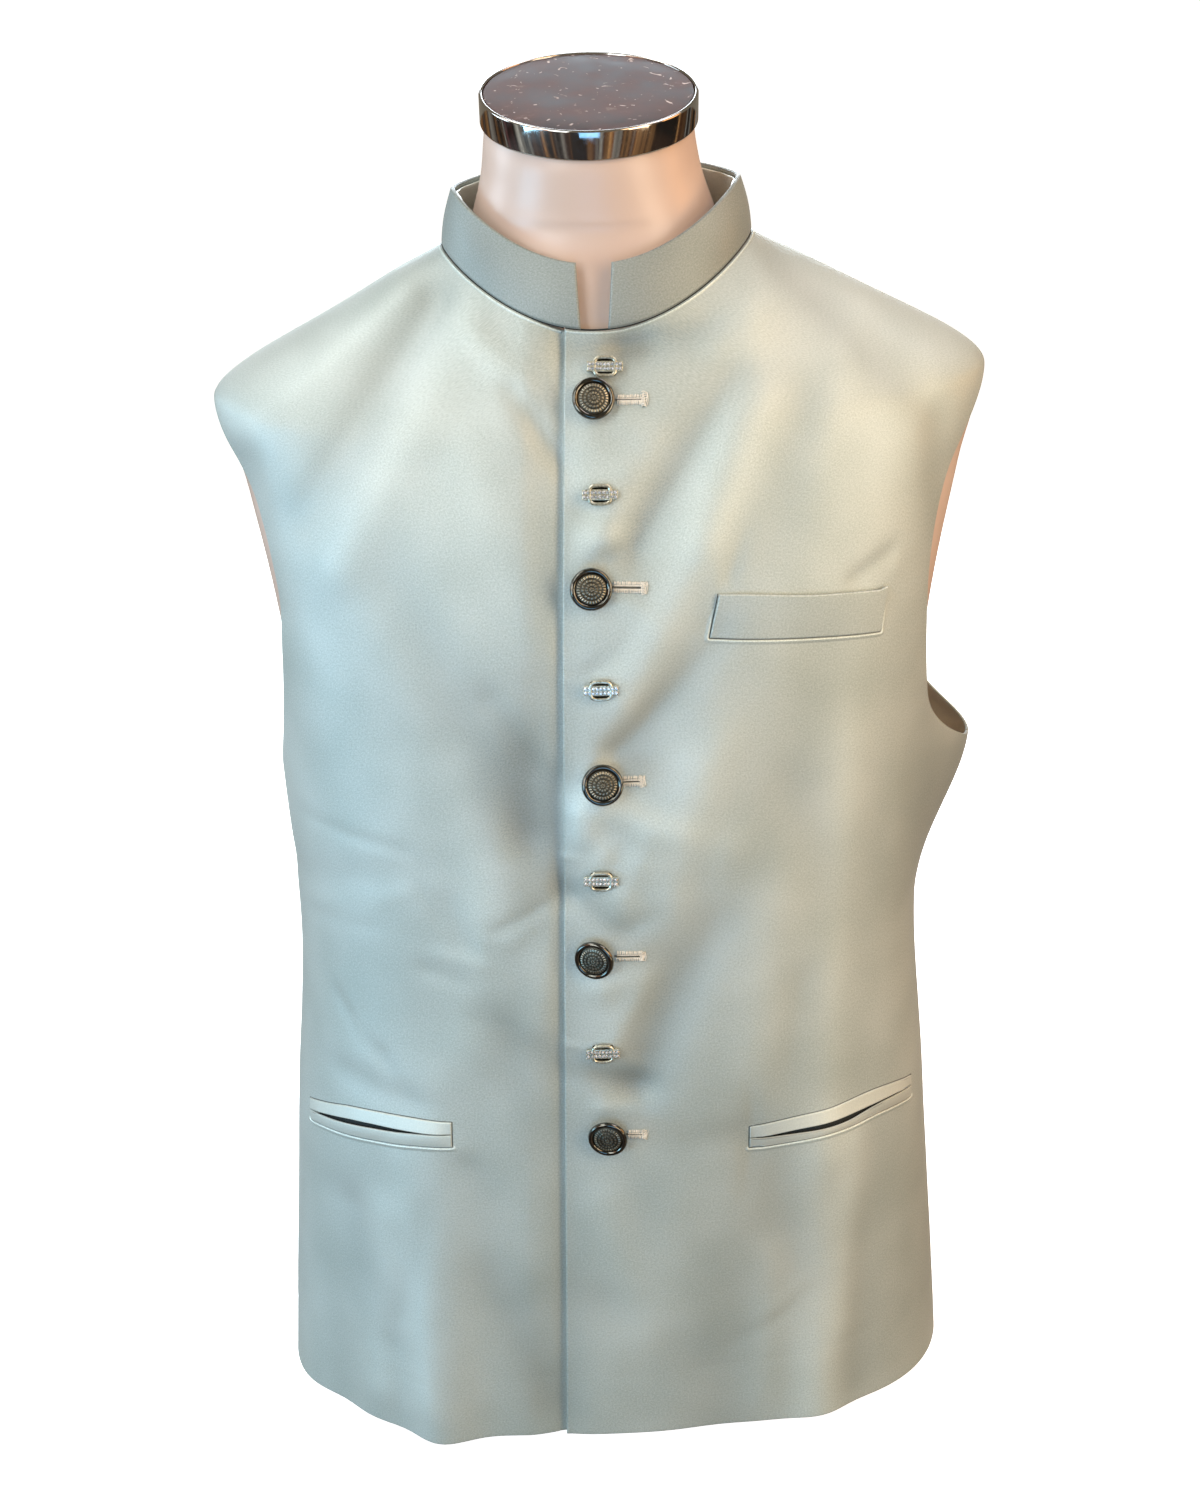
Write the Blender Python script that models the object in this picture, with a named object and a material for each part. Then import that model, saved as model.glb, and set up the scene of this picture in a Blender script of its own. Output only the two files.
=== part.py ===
"""A sleeveless bandhgala jacket buttoned on a limbless dress form, in metres, +Z up.

The jacket's front looks along -Y and the wearer's left is +X. The origin is the middle of
the form's flat underside. The jacket is worked out as a stack of rounded sections from the
hem to the neckline; every piece of cloth is a stretch of that surface with a wall thickness,
and the form fills it from inside. Tables are in millimetres.
"""

import math
from collections import namedtuple

import bmesh
import bpy
import numpy as np
from mathutils import Matrix, Vector

MM = 0.001

# ---------------------------------------------------------------- driving sizes, millimetres
CLOTH = 2.0                 # shell, canvas and lining together
SEAM_GAP = 0.34             # between two pieces sewn edge to edge
LAY_GAP = 0.5               # between a piece and the panel that it lies on
JACKET_SHIFT = 3.0          # the jacket hangs this far to its wearer's left
SHEAR = 0.028               # and that shoulder sits higher: rise for each unit of X

EDGE_AT_HEM = 31.0          # overlapping front edge, past the centre line, at the hem
EDGE_AT_NECK = 18.5         # and at the neckline
UNDERLAP = 24.0             # how far the lower front runs on below the upper one
LAYER_STEP = 2.8            # how deep the lower front steps in under the upper one
STEP_WIDTH = 24.0           # the step starts this far outside the upper edge

COLLAR_THICK = 2.8
COLLAR_PROUD = 0.8          # the folded collar seam stands this far off the fronts
COLLAR_GAP_BASE = 15.0      # opening of the collar at the neckline
COLLAR_GAP_TOP = 21.0       # and at its top edge
COLLAR_SHIFT = -2.0         # the opening's middle, from the jacket's centre line
LINING_THICK = 1.0
LINING_RIPPLES = 20         # creases round the inside of the collar
LINING_RIPPLE_DEPTH = 0.9

BUTTON_RADIUS = 11.8
LINK_LENGTH = 20.0
LINK_FRAME_WIDTH = 12.6
LINK_FRAME_HEIGHT = 11.0

CAP_RADIUS = 61.0
CAP_HEIGHT = 17.0
CAP_TILT = math.radians(17)
CAP_CENTRE = Vector((0, -6, 833)) * MM

# The jacket's sections. v runs from 0 at the hem to 1 at the neckline. Heights are those of
# the section's front, side and back; half_width and the depths are its reach from the axis;
# square is 2 for an ellipse and more for a boxier section. form_side and form_end are how
# deep the form's skin lies below the cloth at the sides and at the front and back.
Section = namedtuple("Section", "v front_z side_z back_z half_width front_depth back_depth "
                     "square form_side form_end")
SECTIONS = {
    "hem":      Section(0.00,  36,  31,  36, 215, 132, 124, 2.45, 40, 34),
    "low hip":  Section(0.11, 116, 116, 116, 209, 131, 124, 2.45, 28, 24),
    "pockets":  Section(0.26, 236, 236, 236, 200, 129, 114, 2.42, 20, 17),
    "waist":    Section(0.40, 345, 347, 346, 192, 125, 100, 2.36, 16, 13),
    "underarm": Section(0.53, 440, 446, 448, 197, 122, 101, 2.32, 12, 11),
    "chest":    Section(0.65, 535, 546, 550, 203, 118, 106, 2.30,  6, 10),
    "upper":    Section(0.76, 600, 618, 624, 212, 108, 105, 2.26,  2, 10),
    "tip":      Section(0.85, 645, 673, 676, 223,  95,  93, 2.15, 2.5, 9),
    "outer":    Section(0.88, 658, 691, 695, 206,  91,  89, 2.10, 4.4, 8),
    "shoulder": Section(0.93, 681, 721, 724, 149,  82,  77, 2.05, 2.8, 8),
    "neckline": Section(1.00, 711, 753, 756,  88,  70,  62, 2.00,  6,  8),
}

# The armhole in the same terms: it opens between these values of v, and reaches this many
# degrees forwards and backwards of the side.
ARMHOLE_LOW = 0.525
ARMHOLE_HIGH = 0.855
ARMHOLE_FRONT = math.radians(27)
ARMHOLE_BACK = math.radians(25)
ROW_AT_UNDERARM = 0.48      # share of a panel's rows that lie below the armhole
ROW_AT_SHOULDER = 0.87      # and below the shoulder seam

# The cloth stands off the body below the left armhole, behind a soft vertical crease.
FLARE_REACH = 29.0
FLARE_START = math.radians(60)
FLARE_PEAK = math.radians(93)
FLARE_END = math.radians(128)
FLARE_FADE_DOWN = 0.125     # in v, below the armhole
FLARE_FADE_UP = 0.055

# The largest folds: a line from (x, z) to (x, z) on the front (-1) or back (+1), its
# half-width, and its height at both ends, negative for a trough.
Fold = namedtuple("Fold", "face x0 z0 x1 z1 half_width height0 height1")
FOLDS = {
    "hem ridge, right":         Fold(-1, -107,  26, -104, 265, 21,  14.0,  2.0),
    "hem trough, right":        Fold(-1, -182,  30, -174, 175, 22,  -8.0, -1.5),
    "hem ridge, left":          Fold(-1,  128,  30,  129, 215, 18,   4.5,  1.5),
    "hem trough, left":         Fold(-1,   64,  24,   80, 150, 26,  -2.5, -1.0),
    "neck drape, right":        Fold(-1,  -92, 726, -168, 616, 12,  -3.2, -1.6),
    "neck ridge, right":        Fold(-1, -112, 728, -186, 664, 13,   1.6,  2.0),
    "neck ridge, lower right":  Fold(-1,  -76, 708, -148, 590, 15,   1.2,  1.6),
    "chest drape, right":       Fold(-1, -112, 572,  -46, 434, 20,  -1.6, -3.2),
    "belly ridge, right":       Fold(-1,  -58, 408,  -80, 306, 18,   1.4,  1.6),
    "placket drape, right":     Fold(-1,  -68, 322,  -30, 288, 12,  -1.0, -1.6),
    "waist drape, right":       Fold(-1, -182, 392, -112, 412, 13,  -2.0, -1.0),
    "collar drape, left":       Fold(-1,   54, 690,   18, 614, 12,  -2.0, -2.4),
    "collar ridge, left":       Fold(-1,   84, 712,   58, 612, 14,   1.8,  1.4),
    "shoulder drape, left":     Fold(-1,  103, 742,  188, 656, 11,  -2.4, -1.2),
    "chest pull, left":         Fold(-1,   58, 548,   18, 476, 13,  -1.2, -2.6),
    "waist ridge, left":        Fold(-1,   62, 480,   38, 396, 15,   1.8,  2.2),
    "waist pull, left":         Fold(-1,   52, 396,   10, 278, 14,  -2.0, -2.4),
    "side ridge, left":         Fold(-1,  140, 468,  129, 215, 14,   1.0,  1.5),
    "back blade, left":         Fold( 1,   96, 690,   70, 560, 30,   2.0,  3.0),
    "back blade, right":        Fold( 1,  -96, 690,  -70, 560, 30,   2.0,  3.0),
    "back middle":              Fold( 1,    0, 640,    0, 420, 34,  -2.0, -4.0),
    "back neck drape, left":    Fold( 1,   88, 732,  160, 610, 14,  -2.4, -1.2),
    "back neck drape, right":   Fold( 1,  -88, 732, -160, 610, 14,  -2.4, -1.2),
    "back waist, left":         Fold( 1,   56, 352,  150, 376, 15,  -2.6, -1.4),
    "back waist, right":        Fold( 1,  -62, 346, -150, 368, 15,  -2.6, -1.4),
    "back hem wave, left":      Fold( 1,   84,  24,   70, 240, 26,   6.0,  1.5),
    "back hem wave, right":     Fold( 1,  -84,  24,  -70, 240, 26,   6.0,  1.5),
    "back hem trough":          Fold( 1,    4,  24,    0, 260, 30,  -4.0, -1.0),
}

# The form above the neckline: heights, reach and the lean of each section.
NeckRing = namedtuple("NeckRing", "z half_width front_depth back_depth middle_y lean_deg")
NECK = (
    NeckRing(758, 73.0, 53.0, 51.0,  0,  4),
    NeckRing(776, 66.0, 54.0, 49.0,  0,  8),
    NeckRing(790, 62.0, 55.0, 50.0, -1, 12),
    NeckRing(806, 59.5, 56.5, 53.0, -2, 15),
)
FORM_BASE = {"half_width": 158, "front_depth": 76, "back_depth": 86, "square": 2.4}
FORM_FOOT_Z = 9.0           # height at which the rounded foot meets the upright skin
FORM_LEAN = 3.5             # how much closer the form is to the left armhole than the right

# Buttons and trims: height on the front, place across it, and how each has tipped.
Button = namedtuple("Button", "x z turn_deg tip_deg")
BUTTONS = (
    Button( 1.7, 675.0, -17,  2),
    Button(-1.7, 577.0, -12,  2),
    Button( 0.8, 466.6,   4, 12),
    Button(-3.8, 361.4, -18, -4),
    Button( 1.3, 247.7,  -8, -9),
)
LINKS = ((6.3, 692.1), (2.4, 626.3), (1.1, 521.3), (-0.7, 408.3), (-1.3, 300.6))

# Pockets: the breast welt's corners as x and z, and rows across each lower pocket from its
# inner to its outer end. Its mouth gapes between the two jets.
WELT_CORNERS = {"inner_low": (62, 548), "outer_low": (160.5, 541.5),
                "inner_top": (66, 572.5), "outer_top": (162, 566)}
WELT_THICK = 1.6
JET_THICK = 1.3
Mouth = namedtuple("Mouth", "x top mouth_top mouth_low bottom")
POCKETS = {
    "right": (Mouth( -92.0, 252.8, 245.6, 244.9, 237.4), Mouth(-120.0, 252.6, 243.8, 240.8, 234.2),
              Mouth(-146.5, 250.5, 242.6, 235.8, 229.8), Mouth(-184.0, 236.6, 230.0, 229.3, 222.0)),
    "left": (Mouth(85.0, 246.0, 239.0, 238.3, 232.5), Mouth(120.0, 250.2, 242.8, 240.6, 234.4),
             Mouth(152.0, 252.0, 245.2, 242.2, 236.0), Mouth(188.5, 246.5, 241.2, 240.5, 233.0)),
}

NECK_MARGIN = 0.0003        # in v, what the panels stop short of the neckline
FRONT_COLUMNS, FRONT_ROWS = 19, 32
BACK_COLUMNS, BACK_ROWS = 27, 28


# ---------------------------------------------------------------- small tools
def smooth(x):
    """0 before 0, 1 after 1 and an even curve between."""
    x = np.clip(x, 0, 1)
    return x * x * (3 - 2 * x)


def spline(knots, values, at):
    """A smooth curve through (knots, values), read at the given places."""
    knots, values = np.asarray(knots, float), np.asarray(values, float)
    steps = np.diff(values) / np.diff(knots)
    tangents = np.empty_like(values)
    tangents[1:-1] = (values[2:] - values[:-2]) / (knots[2:] - knots[:-2])
    tangents[0], tangents[-1] = steps[0], steps[-1]
    at = np.clip(at, knots[0], knots[-1])
    i = np.clip(np.searchsorted(knots, at, side="right") - 1, 0, len(knots) - 2)
    width = knots[i + 1] - knots[i]
    t = (at - knots[i]) / width
    return ((2 * t**3 - 3 * t**2 + 1) * values[i] + (t**3 - 2 * t**2 + t) * width * tangents[i]
            + (3 * t**2 - 2 * t**3) * values[i + 1] + (t**3 - t**2) * width * tangents[i + 1])


def section(column, v):
    """One column of the section table at v."""
    rows = SECTIONS.values()
    return spline([r.v for r in rows], [getattr(r, column) for r in rows], v)


def rounded(turn, half_width, front_depth, back_depth, square):
    """x and y of a rounded section at the angle turn, 0 in front and growing to +X."""
    c, s = np.cos(turn), np.sin(turn)
    reach = (np.abs(c) ** square + np.abs(s) ** square) ** (-1 / square)
    return half_width * s * reach, -np.where(c > 0, front_depth, back_depth) * c * reach


def hang(points):
    """The jacket's small shift and shear on the form, of points in millimetres."""
    out = points.copy()
    out[..., 2] += SHEAR * out[..., 0]
    out[..., 0] += JACKET_SHIFT
    return out


# ---------------------------------------------------------------- the cloth's surface
def body_point(turn, v):
    """The smooth surface through the sections, in millimetres."""
    x, y = rounded(turn, section("half_width", v), section("front_depth", v),
                   section("back_depth", v), section("square", v))
    side, c = section("side_z", v), np.cos(turn)
    end = np.where(c > 0, section("front_z", v), section("back_z", v))
    return np.stack([x, y, side + (end - side) * c * c], -1)


def body_normal(turn, v):
    """Its outward direction, from differences along both parameters."""
    step = 1e-3
    across = body_point(turn + step, v) - body_point(turn - step, v)
    up = body_point(turn, np.minimum(v + step, 1)) - body_point(turn, np.maximum(v - step, 0))
    n = np.cross(across, up)
    return n / np.linalg.norm(n, axis=-1, keepdims=True)


def flare(turn, v):
    """How far the cloth stands out below the left armhole."""
    across = smooth((turn - FLARE_START) / (FLARE_PEAK - FLARE_START))
    across = across * (1 - smooth((turn - FLARE_PEAK) / (FLARE_END - FLARE_PEAK)))
    below = 1 - smooth((ARMHOLE_LOW - v) / FLARE_FADE_DOWN)
    above = 1 - smooth((v - ARMHOLE_LOW) / FLARE_FADE_UP)
    return FLARE_REACH * across * np.where(v < ARMHOLE_LOW, below, above)


def folds(points):
    """Height of the soft folds at these points: each is a ridge or trough along a line that
    fades over its half-width and past its ends."""
    x, y, z = points[..., 0], points[..., 1], points[..., 2]
    total = np.zeros_like(x)
    for f in FOLDS.values():
        length = math.hypot(f.x1 - f.x0, f.z1 - f.z0)
        ux, uz = (f.x1 - f.x0) / length, (f.z1 - f.z0) / length
        along = (x - f.x0) * ux + (z - f.z0) * uz
        aside = (x - f.x0) * uz - (z - f.z0) * ux
        past = np.maximum(0, np.maximum(-along, along - length))
        soft = np.exp(-(aside / f.half_width) ** 2 - (past / (1.4 * f.half_width)) ** 2)
        height = f.height0 + (f.height1 - f.height0) * np.clip(along / length, 0, 1)
        total += height * soft * smooth(0.5 + f.face * y / 40)
    return total


def cloth(turn, v, out=0.0):
    """A point of the jacket's outer face, moved out by this many millimetres."""
    turn, v = np.broadcast_arrays(np.asarray(turn, float), np.asarray(v, float))
    p, n = body_point(turn, v), body_normal(turn, v)
    stand = flare(turn, v)[..., None] * np.array([1.0, 0.25, 0.0])
    return hang(p + stand + n * (folds(p) + out)[..., None])


def find(x, z):
    """The turn and v at which the cloth's front passes x and z: a few Newton steps."""
    x, z = np.broadcast_arrays(np.asarray(x, float), np.asarray(z, float))
    turn = np.arcsin(np.clip((x - JACKET_SHIFT) / 215, -0.95, 0.95))
    v = np.clip((z - 30) / 690, 0.02, 0.98)
    step = 1e-4
    for _ in range(14):
        here = cloth(turn, v)
        by_turn = (cloth(turn + step, v) - here) / step
        by_v = (cloth(turn, v + step) - here) / step
        dx, dz = x - here[..., 0], z - here[..., 2]
        det = by_turn[..., 0] * by_v[..., 2] - by_v[..., 0] * by_turn[..., 2]
        turn = turn + np.clip((dx * by_v[..., 2] - by_v[..., 0] * dz) / det, -0.2, 0.2)
        v = np.clip(v + np.clip((by_turn[..., 0] * dz - dx * by_turn[..., 2]) / det, -0.1, 0.1),
                    0.001, 0.999)
    return turn, v


def armhole(row, reach):
    """The side edge of a panel by row: straight up the side seam, round the armhole and up
    the shoulder seam. Returns how far it draws back from the side, and its v."""
    t = (row - ROW_AT_UNDERARM) / (ROW_AT_SHOULDER - ROW_AT_UNDERARM)
    inside = (t > 0) & (t < 1)
    low = ARMHOLE_LOW * row / ROW_AT_UNDERARM
    high = 1 - (1 - ARMHOLE_HIGH) * (1 - row) / (1 - ROW_AT_SHOULDER)
    oval = ARMHOLE_LOW + (ARMHOLE_HIGH - ARMHOLE_LOW) * (1 - np.cos(np.pi * t)) / 2
    back = np.where(inside, reach * np.sin(np.pi * np.clip(t, 0, 1)), 0)
    return back, np.where(inside, oval, np.where(t <= 0, low, high))


def seam_turn(v, column):
    """Half the seam gap at the side, as an angle."""
    return SEAM_GAP / 2 / section(column, v)


# ---------------------------------------------------------------- making solids
def material(name, colour, roughness, metallic=0.0):
    made = bpy.data.materials.get(name) or bpy.data.materials.new(name)
    made.use_nodes = True
    shader = made.node_tree.nodes["Principled BSDF"]
    shader.inputs["Base Color"].default_value = (*colour, 1)
    shader.inputs["Roughness"].default_value = roughness
    shader.inputs["Metallic"].default_value = metallic
    return made


def new_object(name, mesh, look):
    mesh.materials.append(look)
    made = bpy.data.objects.new(name, mesh)
    bpy.context.scene.collection.objects.link(made)
    return made


def wall(name, outer, inner, look):
    """A closed wall between two grids of points in millimetres, outer facing out."""
    rows, columns = outer.shape[:2]
    points = np.concatenate([outer.reshape(-1, 3), inner.reshape(-1, 3)]) * MM
    index = np.arange(rows * columns).reshape(rows, columns)
    inside = index + rows * columns
    a, b, c, d = index[:-1, :-1], index[:-1, 1:], index[1:, 1:], index[1:, :-1]
    faces = list(np.stack([a, b, c, d], -1).reshape(-1, 4))
    a, b, c, d = inside[:-1, :-1], inside[:-1, 1:], inside[1:, 1:], inside[1:, :-1]
    faces += list(np.stack([d, c, b, a], -1).reshape(-1, 4))
    rim = np.concatenate([index[0, :], index[1:, -1], index[-1, -2::-1], index[-2:0:-1, 0]])
    under = rim + rows * columns
    faces += list(np.stack([rim, under, np.roll(under, -1), np.roll(rim, -1)], -1))
    mesh = bpy.data.meshes.new(name)
    mesh.from_pydata(points.tolist(), [], [tuple(int(k) for k in f) for f in faces])
    mesh.shade_smooth()
    mesh.set_sharp_from_angle(angle=math.radians(50))
    return new_object(name, mesh, look)


def turned(name, profile, sides, look, bend=None):
    """A solid of revolution about Z from (radius, height) pairs, starting and ending on the
    axis, from the underside round to the top. bend may move the finished points."""
    shape = bmesh.new()
    rings = []
    for radius, height in profile:
        if radius == 0:
            rings.append([shape.verts.new((0, 0, height * MM))])
            continue
        angles = [2 * math.pi * k / sides for k in range(sides)]
        rings.append([shape.verts.new((radius * MM * math.cos(a), radius * MM * math.sin(a),
                                       height * MM)) for a in angles])
    for low, high in zip(rings, rings[1:]):
        for k in range(sides):
            j = (k + 1) % sides
            corners = [low[k % len(low)], low[j % len(low)],
                       high[j % len(high)], high[k % len(high)]]
            shape.faces.new(list(dict.fromkeys(corners)))
    mesh = bpy.data.meshes.new(name)
    shape.to_mesh(mesh)
    shape.free()
    if bend:
        mesh.transform(bend)
    mesh.shade_smooth()
    mesh.set_sharp_from_angle(angle=math.radians(40))
    return new_object(name, mesh, look)


# ---------------------------------------------------------------- panels
def upper_edge_turn(v, past=0.0):
    """Angle of the overlapping front's free edge, on the wearer's right of the centre, or
    of a line so many millimetres past it."""
    reach = EDGE_AT_HEM + (EDGE_AT_NECK - EDGE_AT_HEM) * v + past
    return -np.arcsin(reach / section("half_width", v))


def front_grid(side, stops, places):
    """Turn and v of a front's points. stops are the angles, row by row, that lie at these
    shares of its columns; its side edge comes last. side is +1 for the wearer's left."""
    row = np.linspace(0, 1, FRONT_ROWS)[:, None]
    share = np.linspace(0, 1, FRONT_COLUMNS)[None, :]
    back, edge_v = armhole(row, ARMHOLE_FRONT)
    v = np.clip(row + (edge_v - row) * share**2, 0, 1 - NECK_MARGIN)
    stops = [stop(row) for stop in stops]
    stops.append(side * (np.pi / 2 - back - seam_turn(edge_v, "front_depth")))
    turn = sum(stop * np.interp(share, places, np.eye(len(places))[k])
               for k, stop in enumerate(stops))
    return turn, v


def lower_edge_turn(v):
    """Angle of the lower front's free edge, on the wearer's left of the centre."""
    return np.arcsin(UNDERLAP / section("half_width", v))


def front_left(look):
    places = np.array((0, 4, FRONT_COLUMNS - 1)) / (FRONT_COLUMNS - 1)
    turn, v = front_grid(1, (upper_edge_turn, lower_edge_turn), places)
    return wall("front_left", cloth(turn, v), cloth(turn, v, -CLOTH), look)


def layer_step(turn, v):
    """How deep the lower front lies: it steps in before it runs under the upper front."""
    past_start = (turn - upper_edge_turn(v, STEP_WIDTH)) * section("half_width", v)
    return -LAYER_STEP * smooth(past_start / STEP_WIDTH)


def front_right(look):
    def step_start(v):
        return upper_edge_turn(v, STEP_WIDTH)

    places = np.array((0, 4, 7, FRONT_COLUMNS - 1)) / (FRONT_COLUMNS - 1)
    turn, v = front_grid(-1, (lower_edge_turn, upper_edge_turn, step_start), places)
    deep = layer_step(turn, v)
    outer, inner = cloth(turn, v, deep), cloth(turn, v, deep - CLOTH)
    return wall("front_right", outer[:, ::-1], inner[:, ::-1], look)


def back(look):
    row = np.linspace(0, 1, BACK_ROWS)[:, None]
    share = np.linspace(1, -1, BACK_COLUMNS)[None, :]
    drawn, edge_v = armhole(row, ARMHOLE_BACK)
    v = np.clip(row + (edge_v - row) * share**2, 0, 1 - NECK_MARGIN)
    half = np.pi / 2 - drawn - seam_turn(edge_v, "back_depth")
    turn = np.pi - share * half
    # The flare reads angles from the front on either side, so the far side wraps round.
    wrapped = np.where(turn > np.pi, turn - 2 * np.pi, turn)
    return wall("back", cloth(wrapped, v), cloth(wrapped, v, -CLOTH), look)


# ---------------------------------------------------------------- collar
COLLAR_TOP = {"half_width": 81.5, "front_depth": 63.0, "back_depth": 57.0,
              "front_z": 746.0, "side_z": 784.0, "back_z": 793.0}


def collar_faces(turn, rise, depth):
    """Points of the collar band: rise is 0 at the neckline and 1 at its top edge, depth is
    how far inside its outer face."""
    base = body_point(turn, np.ones_like(turn))
    normal = body_normal(turn, np.ones_like(turn))
    below = body_point(turn, np.full_like(turn, 0.99))
    along = (base - below) / np.linalg.norm(base - below, axis=-1, keepdims=True)
    foot = base + along * SEAM_GAP + normal * COLLAR_PROUD
    x, y = rounded(turn, COLLAR_TOP["half_width"], COLLAR_TOP["front_depth"],
                   COLLAR_TOP["back_depth"], 2.0)
    c = np.cos(turn)
    end = np.where(c > 0, COLLAR_TOP["front_z"], COLLAR_TOP["back_z"])
    top = np.stack([x, y, COLLAR_TOP["side_z"] + (end - COLLAR_TOP["side_z"]) * c * c], -1)
    around = np.roll(foot, -1, axis=1) - np.roll(foot, 1, axis=1)
    around[:, 0], around[:, -1] = foot[:, 1] - foot[:, 0], foot[:, -1] - foot[:, -2]
    face_out = np.cross(around, top - foot)
    face_out /= np.linalg.norm(face_out, axis=-1, keepdims=True)
    lean = smooth(rise * 3)[..., None]
    inward = normal * (1 - lean) + face_out * lean
    bow = 1.2 * np.sin(np.pi * rise)[..., None] * face_out
    return hang(foot + (top - foot) * rise[..., None] + bow - inward * depth[..., None])


def collar_grid(columns, rises, margin=0.0):
    """Turns from the opening's wearer-left side round the back to the other side."""
    rise = np.asarray(rises, float)[:, None]
    half = (COLLAR_GAP_BASE + (COLLAR_GAP_TOP - COLLAR_GAP_BASE) * rise) / 2 + margin
    start = np.arcsin((half + COLLAR_SHIFT) / 88)
    stop = 2 * np.pi - np.arcsin((half - COLLAR_SHIFT) / 88)
    share = np.linspace(0, 1, columns)[None, :]
    turn = start + (stop - start) * share
    return turn, rise + 0 * turn


def collar(look):
    turn, rise = collar_grid(57, (0, 0.33, 0.67, 1))
    outer = collar_faces(turn, rise, np.zeros_like(turn))
    inner = collar_faces(turn, rise, np.full_like(turn, COLLAR_THICK))
    return wall("collar", outer, inner, look)


def collar_lining(look):
    """The thin lining inside the band, drawn into short upright creases."""
    turn, rise = collar_grid(LINING_RIPPLES * 4 + 1, (0.16, 0.5, 0.94), margin=1.5)
    wave = 0.5 - 0.5 * np.cos(np.linspace(0, 2 * np.pi * LINING_RIPPLES, turn.shape[1]))
    outer_depth = COLLAR_THICK + LAY_GAP + 0.25 + 0 * turn
    inner_depth = outer_depth + LINING_THICK + LINING_RIPPLE_DEPTH * wave[None, :]
    return wall("collar_lining", collar_faces(turn, rise, outer_depth),
                collar_faces(turn, rise, inner_depth), look)


# ---------------------------------------------------------------- pockets
def strip(name, x, low, high, rows, thick, look):
    """A strip that lies on the front between the heights low and high at each x."""
    share = np.linspace(0, 1, rows)[:, None]
    z = low[None, :] + (high - low)[None, :] * share
    turn, v = find(x[None, :] + 0 * z, z)
    return wall(name, cloth(turn, v, LAY_GAP + thick), cloth(turn, v, LAY_GAP), look)


def breast_welt(look):
    share = np.linspace(0, 1, 11)
    c = WELT_CORNERS
    low = c["inner_low"][1] + (c["outer_low"][1] - c["inner_low"][1]) * share
    high = c["inner_top"][1] + (c["outer_top"][1] - c["inner_top"][1]) * share
    slant = np.linspace(0, 1, 4)[:, None]
    x_low = c["inner_low"][0] + (c["outer_low"][0] - c["inner_low"][0]) * share
    x_high = c["inner_top"][0] + (c["outer_top"][0] - c["inner_top"][0]) * share
    x = x_low + (x_high - x_low) * slant
    z = low + (high - low) * slant
    turn, v = find(x, z)
    return wall("breast_welt", cloth(turn, v, LAY_GAP + WELT_THICK),
                cloth(turn, v, LAY_GAP), look)


def lower_pocket(side, look):
    """The two jets of a lower pocket."""
    rows = sorted(POCKETS[side])
    x = np.linspace(rows[0].x, rows[-1].x, 13)
    top, mouth_top, mouth_low, bottom = (
        spline([r.x for r in rows], [getattr(r, edge) for r in rows], x)
        for edge in ("top", "mouth_top", "mouth_low", "bottom"))
    strip(f"pocket_{side}_upper_jet", x, mouth_top, top, 3, JET_THICK, look)
    strip(f"pocket_{side}_lower_jet", x, bottom, mouth_low, 3, JET_THICK, look)


# ---------------------------------------------------------------- buttons and trims
def on_front(x, z, out, turn_deg=0.0, tip_deg=0.0):
    """The frame of something sewn on the front: +Z off the cloth, +Y up the front."""
    turn, v = find(np.array([x]), np.array([z]))
    here, off = cloth(turn, v, out)[0], (cloth(turn, v, 1.0) - cloth(turn, v))[0]
    normal = Vector(off).normalized()
    across = Vector((0, 0, 1)).cross(normal).normalized()
    frame = Matrix((across, normal.cross(across), normal)).transposed().to_4x4()
    lean = Matrix.Rotation(math.radians(turn_deg), 4, "Y")
    tip = Matrix.Rotation(math.radians(-tip_deg), 4, "X")
    return Matrix.Translation(Vector(here) * MM) @ frame @ lean @ tip


# Radius and height of a button's profile: shank, back, rounded rim, ring groove and dome.
SHANK_RADIUS, SHANK_HEIGHT, SHANK_GAP = 2.6, 3.8, 0.9
BUTTON_PROFILE = (
    (0, 0), (SHANK_RADIUS, 0), (SHANK_RADIUS, SHANK_HEIGHT), (9.8, SHANK_HEIGHT),
    (BUTTON_RADIUS, SHANK_HEIGHT + 1.2), (11.2, SHANK_HEIGHT + 2.9),
    (9.0, SHANK_HEIGHT + 3.5), (8.4, SHANK_HEIGHT + 3.1), (4.6, SHANK_HEIGHT + 3.9),
    (0, SHANK_HEIGHT + 4.2))


def buttons(look):
    for number, b in enumerate(BUTTONS, 1):
        turned(f"button_{number}", BUTTON_PROFILE, 20, look,
               on_front(b.x, b.z, SHANK_GAP, b.turn_deg, b.tip_deg))


def rounded_rectangle(width, height, radius, steps=4):
    """Corners of a rounded rectangle, counter-clockwise."""
    out = []
    for k, (cx, cy) in enumerate(((1, 1), (-1, 1), (-1, -1), (1, -1))):
        for j in range(steps):
            a = math.pi / 2 * (k + j / (steps - 1))
            out.append((cx * (width / 2 - radius) + radius * math.cos(a),
                        cy * (height / 2 - radius) + radius * math.sin(a)))
    return out


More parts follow.
